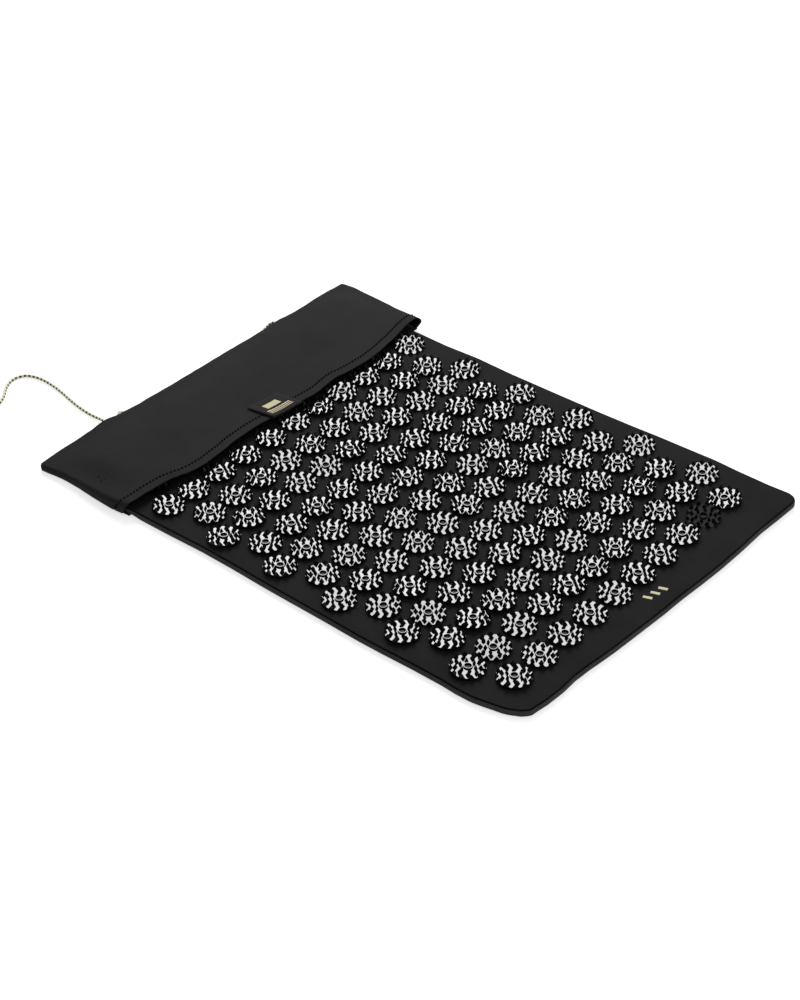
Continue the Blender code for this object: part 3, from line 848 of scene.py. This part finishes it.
# The sleeve's upper cloth is one sheet: from the closed end over the discs to the mouth,
# round a soft fold and back under as the hem.
sleeve = {
    "mouthX": -0.1818,
    "endX": -0.311,
    "reaches": ((-0.2103, 0.2135), (-0.2075, 0.2237)),   # left and right, at the mouth and the end
    "middleHeight": 0.0157,
    "sideHeights": (0.0165, 0.0172),   # left and right, at the mouth
    "endHeight": 0.0075,
    "slopeFrom": -0.24,
    "shoulderWidth": 0.034,
    "foot": 0.0011,
    "thickness": 0.0005,
    "rowsBack": (0.03, 0.026, 0.022, 0.018, 0.0145),   # rows of vertices, back from the mouth
    "rowsAtStitch": (0.0019, 0.0011, 0.0005, 0, -0.0005, -0.0011, -0.0019),
    "rowsFront": (0.0066, 0.005, 0.0035, 0.002, 0.0009),
    "rowsHem": (0.003, 0.006, 0.0085, 0.0105, 0.0118),
    "plainRows": 34,             # even rows from the closed end to plainEnd back from the mouth
    "plainEnd": 0.034,
    "lowerRows": 14,
    "lowerColumns": 46,
    "lowerHeight": 0.0008,
    "lowerThickness": 0.00078,
    "underRightWall": 0.0013,    # the lower cloth is sewn this far under the right wall
    "stitchBack": 0.01,
    "grooveDepth": 0.00035,
    "grooveWidth": 0.0007,
    "foldRadius": 0.0006,
    "unevenness": 0.0007,
    "lowerNear": [(-0.206, -0.196), (-0.2027, -0.1933), (-0.1996, -0.191), (-0.195, -0.189),
                  (0.19, -0.187), (0.208, -0.188)],
    "cornerRounding": 0.006,
    "seamWidth": 0.004,
    "wallPowers": (3.4, 2.0),    # left and right: how boxy the side walls are
    "leftRecess": [(0.0, 0.0093), (0.1, 0.0076), (0.2, 0.0062), (0.4, 0.0041), (0.5, 0.0023), (0.6, 0.0007),
                   (0.7, 0.0)],
    "rightRecess": [(0.0, 0.0025), (0.1, 0.0018), (0.2, 0.001), (0.3, -0.0001), (0.4, -0.0013),
                    (0.5, -0.0018), (0.6, -0.002), (0.7, -0.0016), (0.8, -0.0008), (0.9, 0.0)],
    "columns": 84,
    "sideSteps": 9,
    "stitchPitch": 0.004,
    "stitchLength": 0.0021,
    "stitchWidth": 0.0022,
    "stitchLift": 0.0003,
    # drifts of the sides by place along the sleeve, and of the mouth and the closed end by place
    # across it, measured outside this script
    "leftDrift": [
        (-0.311, 0.001), (-0.305, 0.0016), (-0.3, 0.002), (-0.29, 0.0035), (-0.28, 0.0043),
        (-0.26, 0.0042), (-0.246, 0.0034), (-0.236, 0.0028), (-0.228, 0.0025), (-0.212, 0.0022),
        (-0.211, 0.0022), (-0.196, 0.0035), (-0.193, 0.0037), (-0.185, 0.0044),
    ],
    "rightDrift": [
        (-0.311, 0.0033), (-0.305, 0.0039), (-0.298, 0.0048), (-0.29, 0.0058), (-0.288, 0.0059),
        (-0.27, 0.005), (-0.26, 0.0047), (-0.253, 0.0045), (-0.235, 0.0037), (-0.22, 0.0025),
        (-0.208, 0.0026), (-0.206, 0.0027), (-0.18, 0.003),
    ],
    "mouthLine": [
        (-0.212, -0.0066), (-0.202, -0.0069), (-0.192, -0.006), (-0.182, -0.0059), (-0.172, -0.0055),
        (-0.162, -0.0046), (-0.152, -0.0037), (-0.142, -0.0006), (-0.132, 0.0028), (-0.122, 0.0044),
        (-0.112, 0.005), (-0.102, 0.0042), (-0.092, 0.0034), (-0.082, 0.0027), (-0.072, 0.0009),
        (-0.062, 0.0002), (-0.052, -0.0001), (-0.042, -0.0004), (-0.032, 0.0003), (-0.018, 0.0018),
        (0.008, 0.0042), (0.028, 0.0061), (0.038, 0.0071), (0.048, 0.0069), (0.058, 0.0054),
        (0.068, 0.0039), (0.078, 0.0036), (0.088, 0.0058), (0.098, 0.007), (0.108, 0.0077),
        (0.118, 0.0086), (0.128, 0.0081), (0.138, 0.0071), (0.148, 0.0054), (0.158, 0.0035),
        (0.168, 0.0026), (0.17, 0.0015), (0.18, -0.0004), (0.19, -0.0026), (0.198, -0.004),
        (0.206, -0.0042), (0.214, -0.0034),
    ],
    "endLine": [
        (-0.197, -0.0024), (-0.178, -0.0039), (-0.151, -0.0043), (-0.137, -0.0054), (-0.1146, -0.0077),
        (-0.098, -0.0037), (-0.072, -0.0017), (-0.0175, -0.0002), (0.04, 0.0004), (0.099, 0.0017),
        (0.131, 0.0005), (0.137, 0.0022), (0.159, 0.0034), (0.189, 0.0025), (0.222, 0.0041),
    ],
}


def reachAt(x):
    (mouthLeft, mouthRight), (endLeft, endRight) = sleeve["reaches"]
    share = (sleeve["mouthX"] - x) / (sleeve["mouthX"] - sleeve["endX"])
    share = min(1.05, max(-0.1, share))
    left = mouthLeft + (endLeft - mouthLeft) * share + along(sleeve["leftDrift"], x)
    right = mouthRight + (endRight - mouthRight) * share + along(sleeve["rightDrift"], x)
    return left, right


def sideHeight(x, isRight):
    span = sleeve["mouthX"] - sleeve["endX"]
    share = max(0.0, (x - sleeve["endX"]) / span) ** 1.15
    low = sleeve["endHeight"]
    return low + (sleeve["sideHeights"][isRight] - low) * min(1.0, share)


def topHeight(x, y):
    low, high = sleeve["endHeight"], sleeve["middleHeight"]
    start = sleeve["endX"] + sleeve["seamWidth"]
    share = min(1.0, max(0.0, (x - start) / (sleeve["slopeFrom"] - start)))
    middle = low + (high - low) * math.sin(math.pi / 2 * share)
    left, right = reachAt(x)
    side = sideHeight(x, right - y < y - left)
    inward = min(y - left, right - y) - side / 2
    blend = smoothStep(inward / sleeve["shoulderWidth"])
    soft = softNoise(x, y, 0.06, 5.0) + 0.5 * softNoise(x, y, 0.028, 9.0)
    calm = smoothStep((x - start) / 0.03) * smoothStep(inward / 0.02)
    return side + (middle - side) * blend + sleeve["unevenness"] * soft * calm


def girthPlaces():
    steps, columns = sleeve["sideSteps"], sleeve["columns"]
    places = [("left", k / steps) for k in range(steps)]
    places += [("top", k / columns) for k in range(columns + 1)]
    return places + [("right", 1 - k / steps) for k in range(1, steps + 1)]


def sectionPoint(x, place, inset):
    kind, share = place
    left, right = reachAt(x)
    if kind == "top":
        low, high = left + sideHeight(x, False) / 2, right - sideHeight(x, True) / 2
        y = low + (high - low) * share
        return y, topHeight(x, y) - inset
    radius = sideHeight(x, kind == "right") / 2
    foot = math.asin(max(-1.0, (sleeve["foot"] - radius) / radius))
    angle = foot + (math.pi / 2 - foot) * share
    power = 2 / sleeve["wallPowers"][kind == "right"]
    across = (radius - inset) * math.cos(angle) ** power
    height = radius + (radius - inset) * math.copysign(abs(math.sin(angle)) ** power, math.sin(angle))
    return (left + radius - across if kind == "left" else right - radius + across), height


def mouthEdge(place, y=None):
    kind, share = place
    if y is None:
        y = sectionPoint(sleeve["mouthX"], place, 0)[0]
    edge = sleeve["mouthX"] + along(sleeve["mouthLine"], y)
    if kind == "top":
        return edge
    return edge - along(sleeve[kind + "Recess"], share)


def farEdge(place):
    y = sectionPoint(sleeve["endX"], place, 0)[0]
    left, right = reachAt(sleeve["endX"])
    rounding = sleeve["cornerRounding"]
    past = max(0.0, rounding - min(y - left, right - y))
    drawn = rounding - math.sqrt(max(0.0, rounding * rounding - past * past))
    return sleeve["endX"] + along(sleeve["endLine"], y) + drawn * 0.6


def sleeveVert(bm, x, place, inset):
    y, z = sectionPoint(x, place, inset)
    return bm.verts.new((matMiddle.x + x, matMiddle.y + y, z))


def makeSleeveTop():
    bm = bmesh.new()
    places = girthPlaces()
    back = sleeve["stitchBack"]
    near = [*sleeve["rowsBack"], *[back + step for step in sleeve["rowsAtStitch"]],
            *sleeve["rowsFront"]]
    rows = []
    for step in range(sleeve["plainRows"]):
        share = step / sleeve["plainRows"]
        row = []
        for place in places:
            start = farEdge(place) + sleeve["seamWidth"] * 0.6
            end = mouthEdge(place) - sleeve["plainEnd"]
            row.append(sleeveVert(bm, start + (end - start) * share, place, 0))
        rows.append(row)
    for distance in near:
        off = (distance - back) / sleeve["grooveWidth"]
        dip = sleeve["grooveDepth"] * math.exp(-off * off)
        rows.append([sleeveVert(bm, mouthEdge(p) - distance, p, dip) for p in places])
    radius = sleeve["foldRadius"]
    for k in range(7):
        turn = math.pi * k / 6
        out, drop = radius * (math.sin(turn) - 1), radius * (1 - math.cos(turn))
        rows.append([sleeveVert(bm, mouthEdge(p) + out, p, drop) for p in places])
    for distance in sleeve["rowsHem"]:
        rows.append([sleeveVert(bm, mouthEdge(p) - distance, p, 2 * radius) for p in places])
    gridFaces(bm, rows)
    faceUp(bm, rows[8][len(places) // 2].link_faces[0])
    area = sum(f.calc_area() for f in bm.faces)
    piece = makePiece("sleeveTopCloth", bm, [sleeveCloth], "sleeve",
                      ["sleeve_top_panel", "mouth_hem"], 70)
    addSolidify(piece, sleeve["thickness"])


def makeSleeveBottom():
    bm = bmesh.new()
    rows = []
    steps, across = sleeve["lowerRows"], sleeve["lowerColumns"]
    for step in range(steps + 1):
        row = []
        for k in range(across + 1):
            place = ("top", k / across)
            far = farEdge(place) + sleeve["seamWidth"] * 0.5
            y = sectionPoint(0, place, 0)[0]
            near = min(lowerClothHigh.x - matMiddle.x, along(sleeve["lowerNear"], y))
            x = far + (near - far) * step / steps
            left, right = reachAt(x)
            radii = [sideHeight(x, isRight) / 2 for isRight in (False, True)]
            low, high = [r - math.sqrt(r ** 2 - (r - sleeve["foot"]) ** 2) for r in radii]
            high -= sleeve["underRightWall"] * (k / across)
            y = left + low + (right - left - low - high) * k / across
            row.append(bm.verts.new((matMiddle.x + x, matMiddle.y + y, sleeve["lowerHeight"])))
        rows.append(row)
    gridFaces(bm, rows)
    faceUp(bm, rows[0][0].link_faces[0])
    area = sum(f.calc_area() for f in bm.faces)
    piece = makePiece("sleeveLowerCloth", bm, [sleeveCloth], "sleeve",
                      ["sleeve_bottom_panel"], 60)
    addSolidify(piece, sleeve["lowerThickness"])


def makeEndSeam():
    bm = bmesh.new()
    left, right = reachAt(sleeve["endX"])
    radius = sleeve["endHeight"] / 2
    width = sleeve["seamWidth"]
    turns = [math.pi / 2 * k / 6 for k in range(1, 6)]
    ends = [(radius * (1 - math.cos(turn)), math.sin(turn)) for turn in turns]
    span = right - left - 2 * radius
    places = [(left + reach, share) for reach, share in ends]
    places += [(left + radius + span * k / 110, 1.0) for k in range(111)]
    places += [(right - reach, share) for reach, share in ends[::-1]]
    rings = []
    for y, share in places:
        far = farEdge(("top", (y - left - radius) / span))
        pucker = 0.00025 * math.sin(y / 0.0035 + 2 * softNoise(y, 0, 0.02))
        ring = []
        for k in range(14):
            turn = math.tau * k / 14
            flatten = abs(math.cos(turn)) ** 0.75 * math.copysign(1, math.cos(turn))
            tall = abs(math.sin(turn)) ** 0.75 * math.copysign(1, math.sin(turn))
            x = far + width / 2 + (width / 2 + pucker) * flatten * (0.4 + 0.6 * share)
            z = radius + (radius - 0.0001) * tall * share
            ring.append(bm.verts.new((matMiddle.x + x, matMiddle.y + y, z)))
        rings.append(ring)
    tubeFaces(bm, rings)
    makePiece("sleeveEndSeam", bm, [sleeveCloth], "sleeve", ["sleeve_end_seam"], 70)


def makeMouthStitches():
    bm = bmesh.new()
    back = sleeve["stitchBack"]
    points = []
    for place in girthPlaces()[3:-3]:
        x = mouthEdge(place) - back
        y, z = sectionPoint(x, place, -sleeve["stitchLift"])
        points.append(Vector((matMiddle.x + x, matMiddle.y + y, z)))
    line, length = smoothLine(points, sleeve["stitchPitch"])
    for a, b in zip(line, line[1:]):
        way = (b - a).normalized()
        up = Vector((0, 0, 1))
        if abs(way.z) >= 0.3:      # on the walls
            up = Vector((0, -1 if way.z > 0 else 1, 0.2)).normalized()
        up = (up - way * up.dot(way)).normalized()
        stitchAt(bm, (a + b) / 2, way, up, sleeve["stitchLength"], sleeve["stitchWidth"])
    makePiece("mouthStitches", bm, [threadWithPaintedShade], "sleeve", ["mouth_stitching"], 180)


makeSleeveTop()
makeSleeveBottom()
makeEndSeam()
makeMouthStitches()
print("sleeve made")


# Woven label, folded over the mouth's edge, with plain gold stripes.
labelSettings = {
    "place": 0.0015,
    "width": 0.038,
    "overhang": 0.0021,
    "back": 0.0298,
    "tuck": 0.0035,
    "thickness": 0.0004,
    "turn": 7.3,
    "lift": (0.0008, 0.0014),    # how far the left edge stands off, at the back and the front
    "ground": "#282726",
    "ribs": "#2e2c2b",
    "gold": "#ece3bd",
    "ribPitch": 0.0008,
    "mapLength": 0.05,           # the UV map's V runs from 0 to 1 along this length
    "stripes": ((0.0085, 0.0165), (0.02, 0.0218), (0.023, 0.0243), (0.0254, 0.0264)),
    "wideReach": 0.0085,         # half the first stripe's length, and how much longer the rest are
    "fineFrom": 0.018,
    "fineExtra": 0.0055,
    "freeEdge": 0.014,           # the left edge stands off the cloth in this width
}


def makeLabelMaterial():
    # Damask-woven polyester ribbon: fine dark ribs, with flat metallic-gold weft for the stripes.
    settings = labelSettings
    tree, shader, material = newMaterial("damaskWovenLabel")
    place = addNode(tree, "UVMap").outputs["UV"]
    parts = addNode(tree, "SeparateXYZ", {"Vector": place}).outputs
    wave = addNode(
        tree, "TexWave", {"Scale": bandScale(settings["ribPitch"]), "Vector": place}, bands_direction="Y"
    )
    ribs = wave.outputs["Fac"]
    stripes = addNode(tree, "ValToRGB", {"Fac": parts["Y"]})
    ramp = stripes.color_ramp
    ramp.interpolation = "CONSTANT"
    edges = [edge / settings["mapLength"] for stripe in settings["stripes"] for edge in stripe]
    black, white = (0, 0, 0, 1), (1, 1, 1, 1)
    ramp.elements[0].color = black
    ramp.elements[1].position = edges[0]
    ramp.elements[1].color = white
    for k, edge in enumerate(edges[1:]):
        ramp.elements.new(edge).color = white if k % 2 else black
    fine = addNode(
        tree, "Math", {0: parts["Y"], 1: settings["fineFrom"] / settings["mapLength"]},
        operation="GREATER_THAN",
    )
    reach = addNode(
        tree, "Math", {0: fine.outputs[0], 1: settings["fineExtra"], 2: settings["wideReach"]},
        operation="MULTIPLY_ADD",
    )
    within = addNode(
        tree, "Math", {0: parts["X"], 1: settings["width"] / 2, 2: reach.outputs[0]}, operation="COMPARE"
    )
    gilt = addNode(
        tree, "Math", {0: stripes.outputs["Color"], 1: within.outputs[0]}, operation="MULTIPLY"
    )
    ground = addNode(
        tree, "ValToRGB", {"Fac": ribs}, [(0.0, settings["ground"]), (1.0, settings["ribs"])]
    )
    colour = addNode(
        tree, "Mix", {0: gilt.outputs[0], 6: ground.outputs["Color"], 7: hexColour(settings["gold"])},
        data_type="RGBA",
    )
    bump = addNode(tree, "Bump", {"Strength": 0.5, "Distance": 0.0002, "Height": ribs})
    feed(tree, shader, {
        "Roughness": 0.6, "Specular IOR Level": 0.08,
        "Base Color": colour.outputs[2], "Normal": bump.outputs["Normal"],
    })
    return material


def makeLabel():
    settings = labelSettings
    half = settings["thickness"] / 2
    edge = mouthEdge(("top", 0.5))
    over = 0.0003 + half
    under = 2 * sleeve["foldRadius"] + 0.0003 + half
    radius = (over + under) / 2
    profile = []
    for k in range(15):
        profile.append((edge - settings["back"] + (settings["back"] + settings["overhang"] - radius) * k / 14,
                        over, 0))
    for k in range(1, 9):
        turn = math.pi * k / 9
        profile.append((edge + settings["overhang"] - radius + radius * math.sin(turn),
                        over - radius * (1 - math.cos(turn)), turn / math.pi))
    for k in range(6):
        profile.append((edge + settings["overhang"] - radius - settings["tuck"] * k / 5, -under, 1))
    lengths = [0.0]
    for a, b in zip(profile, profile[1:]):
        lengths.append(lengths[-1] + math.hypot(b[0] - a[0], b[1] - a[1]))
    bm = bmesh.new()
    layer = bm.loops.layers.uv.new("UVMap")
    slant = math.tan(math.radians(settings["turn"]))
    rows, columns = [], 14
    marks = {}
    for (x, drop, share), length in zip(profile, lengths):
        row = []
        for k in range(columns + 1):
            across = settings["width"] * k / columns
            y = settings["place"] - settings["width"] / 2 + across - (edge - x) * slant
            here = mouthEdge(("top", 0.5), y)
            point = Vector((x + here - edge, y, 0))
            atBack, atFront = settings["lift"]
            lift = atBack + (atFront - atBack) * min(1.0, length / settings["back"])
            lift *= smoothStep((settings["freeEdge"] - across) / settings["freeEdge"])
            height = topHeight(min(point.x, here - 0.0005), point.y) + drop + lift * (1 - share)
            vert = bm.verts.new((matMiddle.x + point.x, matMiddle.y + point.y, height))
            marks[vert] = (across, length)
            row.append(vert)
        rows.append(row)
    gridFaces(bm, rows)
    for face in bm.faces:
        for loop in face.loops:
            loop[layer].uv = (marks[loop.vert][0], marks[loop.vert][1] / settings["mapLength"])
    faceUp(bm, rows[3][3].link_faces[0])
    piece = makePiece("wovenLabel", bm, [makeLabelMaterial()], "sleeve", ["woven_label"], 60)
    addSolidify(piece, settings["thickness"], 0)


makeLabel()
print("label made")

# Discs: glossy black moulded ABS. The flat plate and the hub's rim are polished and mirror the
# soft box, the points and the sides are duller and stay black.
discSettings = {
    "radius": 0.01625,
    "plate": 0.002,
    "rimChamfer": 0.0003,
    "segments": 24,
    # each ring: number of points, ring radius, height, half width, turn in degrees
    "rings": [
        (12, 0.0156, 0.0042, 0.003, 0), (9, 0.01115, 0.0041, 0.0026, 20), (6, 0.00695, 0.0042, 0.002, 30),
    ],
    "hubRadii": (0.0044, 0.004, 0.0034),   # foot, top and hole
    "hubHeight": 0.0014,
    "tip": 0.00012,
    "sunk": 0.0001,              # how deep the points' feet lie in the plate
}

# Each disc's turn in degrees, its place off the even pattern in tenths of a millimetre along and
# across the mat, and its lean about both axes in degrees, row by row from the far end and from
# left to right. The first two rows differ in their turns alone. The others were fitted outside
# this script.
evenPlace = (8, -4, 0, 0)
discPoses = [
    [(turn, *evenPlace) for turn in (79, 32, 94, 45, 101, 88, 107, 94, 83, 118, 67)],
    [(turn, *evenPlace) for turn in (3, 107, 59, 99, 31, 83, 6, 115, 20, 14)],
    [
        (114, 0, 16, -4, 3), (109, 11, -12, -2, 0), (61, 3, -10, 0, -2), (96, 5, -7, -3, -1),
        (106, 0, 6, -4, 2), (40, -10, 10, -1, 4), (84, 3, -7, -1, -4), (92, 12, -23, 2, 2),
        (99, 13, -21, 1, 0), (85, 12, -24, -1, 0), (14, -11, 5, 4, 4),
    ],
    [
        (83, 26, -3, -2, 2), (31, 22, -9, -2, 1), (87, 15, -7, -3, -1), (111, 17, -8, 4, 2),
        (23, 19, -11, -3, 1), (38, 19, -13, 1, 0), (60, 22, -11, 1, 4), (103, 23, -16, -2, 4),
        (99, 19, -10, 0, -2), (80, 27, -16, 2, 1),
    ],
    [
        (63, 15, 0, -4, -1), (16, -1, 0, 0, -4), (40, 7, -11, -1, -2), (53, 8, -6, 0, 3), (0, 14, -8, 4, 3),
        (60, 14, -9, -3, -3), (106, 15, -12, 1, -1), (101, 13, -14, 1, -2), (110, 17, -11, 2, 3),
        (39, 9, -8, 2, 3), (27, 9, -2, 4, 0),
    ],
    [
        (36, 20, -6, -2, 0), (58, 20, -7, -1, -1), (65, 23, -8, -2, -3), (40, 25, -8, 0, -3),
        (39, 25, -8, 1, -2), (58, 27, -9, -1, -4), (51, 31, -12, 1, -2), (32, 24, -15, -1, 0),
        (92, 22, -11, 0, -2), (87, 27, -12, -2, -3),
    ],
    [
        (62, -5, 9, -4, 0), (7, 6, -4, -2, 0), (35, 9, -6, -1, 0), (100, 14, -8, -1, -1),
        (30, 11, -6, 2, -3), (1, 17, -8, 0, -2), (97, 19, -9, -1, -2), (23, 16, -9, -2, 0),
        (53, 12, -6, -1, -2), (104, 12, -11, 0, -2), (57, -2, 1, 4, -1),
    ],
    [
        (6, 15, -12, -1, 0), (64, 14, -13, 0, 1), (41, 19, -7, -2, 3), (15, 24, -9, 0, 1),
        (39, 25, -11, 0, 0), (3, 26, -11, -3, 1), (97, 16, -1, 4, 0), (118, 22, -9, -2, 4),
        (69, 22, -11, -1, 0), (10, 16, -12, 2, 2),
    ],
    [
        (106, -2, -4, -1, 2), (38, 4, -8, -2, -2), (35, 10, -11, 1, 0), (14, 14, -5, -2, 4),
        (30, 14, -1, 0, 4), (65, 11, 4, -4, 3), (53, 4, -5, 4, -4), (76, -1, 11, -4, -3),
        (50, 0, -6, 0, -4), (52, 2, -9, 1, -4), (34, -14, 3, 4, -2),
    ],
    [
        (104, 3, -7, 2, 0), (44, 7, -6, -4, -3), (105, 17, -9, -1, 0), (48, 20, -9, 1, 0),
        (32, 28, -12, 1, 0), (52, 22, -10, 3, 1), (20, 19, -5, -2, 4), (37, 17, -5, 0, 4),
        (31, 13, -8, -3, 4), (102, 6, -7, 2, 0),
    ],
    [
        (107, -8, 12, -4, 0), (72, 7, -7, 2, 2), (112, 5, -3, -3, -1), (36, 9, -4, -1, -4),
        (46, 11, 4, 1, -4), (108, 19, -1, 0, -4), (8, 16, -5, -1, -4), (59, 13, -4, -1, -2),
        (54, 11, -5, -1, 0), (5, -3, 8, 0, -1), (118, -10, 15, 4, 4),
    ],
    [
        (90, -16, 16, -4, -2), (97, -8, 7, -4, -4), (118, 10, -11, -1, -3), (25, 10, -11, 0, 1),
        (105, 6, -1, -2, 4), (88, 7, 0, -1, 4), (74, 16, -5, -2, 1), (95, 11, -8, 1, -4),
        (15, 7, 1, -2, -4), (97, -1, 1, 1, -4),
    ],
    [
        (50, -6, 14, -4, 2), (78, 7, -8, 2, 2), (92, -4, 16, -1, 4), (107, -4, 16, -2, -2),
        (50, 5, 10, -2, -4), (15, 15, -5, -1, -3), (64, 19, -13, -2, -2), (21, 20, -10, 0, -2),
        (115, 17, -12, -1, 1), (96, 6, -7, -1, -1), (4, -5, 9, 4, 2),
    ],
    [
        (102, 8, -8, -3, -1), (14, 10, -12, -2, 2), (108, 12, -11, -2, 1), (40, 19, -11, -2, 3),
        (82, 25, -6, -1, 4), (43, 26, -7, -3, 0), (45, 25, -12, -1, 0), (18, 12, 3, 2, -3),
        (20, 11, -4, 9, 4), (74, 11, -8, 2, -4),
    ],
]


def makeAbs(name, roughness, specular, coat, colour):
    tree, shader, material = newMaterial(name)
    place = addNode(tree, "TexCoord").outputs["Object"]
    skin = addNode(tree, "TexNoise", {"Scale": 350.0, "Detail": 2.0, "Vector": place}).outputs["Fac"]
    worn = addNode(
        tree, "MapRange", {"To Min": roughness * 0.8, "To Max": roughness * 1.3, "Value": skin}
    )
    bump = addNode(tree, "Bump", {"Strength": 0.06, "Distance": 0.0002, "Height": skin})
    feed(tree, shader, {
        "Base Color": hexColour(colour), "IOR": 1.54, "Specular IOR Level": specular,
        "Coat Weight": coat, "Coat Roughness": 0.04, "Coat IOR": 1.6,
        "Roughness": worn.outputs["Result"], "Normal": bump.outputs["Normal"],
    })
    return material


plateMaterial = makeAbs("polishedBlackAbs", 0.06, 0.5, 0.62, "#0b0b0c")
pointMaterial = makeAbs("mouldedBlackAbs", 0.38, 0.14, 0.0, "#080809")


def insetLid(bm, lid, thickness):
    return bmesh.ops.inset_region(bm, faces=[lid], thickness=thickness, use_even_offset=True)


def discMesh():
    bm = bmesh.new()
    radius, plate, sunk = [discSettings[key] for key in ("radius", "plate", "sunk")]
    bmesh.ops.create_cone(
        bm, cap_ends=True, segments=discSettings["segments"], radius1=radius, radius2=radius,
        depth=plate, matrix=Matrix.Translation((0, 0, plate / 2)),
    )
    rim = [e for e in bm.edges if all(v.co.z > plate * 0.9 for v in e.verts)]
    bmesh.ops.bevel(
        bm, geom=rim, offset=discSettings["rimChamfer"], offset_type="OFFSET", affect="EDGES",
        segments=1, profile=0.5, material=-1,
    )
    bm.normal_update()
    lid = [f for f in bm.faces if f.normal.z > 0.9 and f.calc_center_median().z > plate * 0.9][0]
    flat = radius - discSettings["rimChamfer"]
    foot, top, hole = discSettings["hubRadii"]
    polished = insetLid(bm, lid, flat - foot)["faces"]
    insetLid(bm, lid, foot - top)
    bmesh.ops.translate(bm, verts=lid.verts[:], vec=(0, 0, discSettings["hubHeight"]))
    polished += insetLid(bm, lid, top - hole)["faces"]
    insetLid(bm, lid, sunk)
    bmesh.ops.translate(bm, verts=lid.verts[:], vec=(0, 0, -discSettings["hubHeight"] * 1.1))
    for face in bm.faces:
        face.material_index = 1
    for face in polished:
        face.material_index = 0
    known = set(bm.faces)
    for count, ringRadius, height, halfWidth, twist in discSettings["rings"]:
        for k in range(count):
            angle = math.tau * k / count + math.radians(twist)
            place = Vector((ringRadius * math.cos(angle), ringRadius * math.sin(angle), plate - sunk))
            place.z += height / 2
            verts = bmesh.ops.create_cone(
                bm, cap_ends=True, segments=4, radius1=halfWidth, radius2=discSettings["tip"], depth=height,
                matrix=Matrix.Translation(place) @ Matrix.Rotation(angle, 4, "Z"),
            )["verts"]
            for vert in verts:
                reach = vert.co.xy.length
                if reach > radius - sunk:      # the outer points end at the rim
                    vert.co.xy *= (radius - sunk) / reach
    for face in bm.faces:
        if face not in known:
            face.material_index = 1
    return meshFrom("discPattern", bm)


def makeDiscs():
    pattern = discMesh()
    for name, places, poses in zip(rowNames, spots, discPoses):
        bm = bmesh.new()
        for place, (turn, ahead, across, leanX, leanY) in zip(places, poses):
            known = len(bm.verts)
            bm.from_mesh(pattern)
            bm.verts.ensure_lookup_table()
            lean = (Matrix.Rotation(math.radians(leanX), 4, "X")
                    @ Matrix.Rotation(math.radians(leanY), 4, "Y"))
            moved = place + Vector((ahead * 0.0001, across * 0.0001, 0))
            bmesh.ops.transform(
                bm, verts=bm.verts[known:],
                matrix=Matrix.Translation(moved) @ lean @ Matrix.Rotation(math.radians(turn), 4, "Z"),
            )
        makePiece(f"discRow{name[-2:]}", bm, [plateMaterial, pointMaterial], "mat",
                  [name], 20)
    bpy.data.meshes.remove(pattern)


makeDiscs()
print("discs made")

print("done")
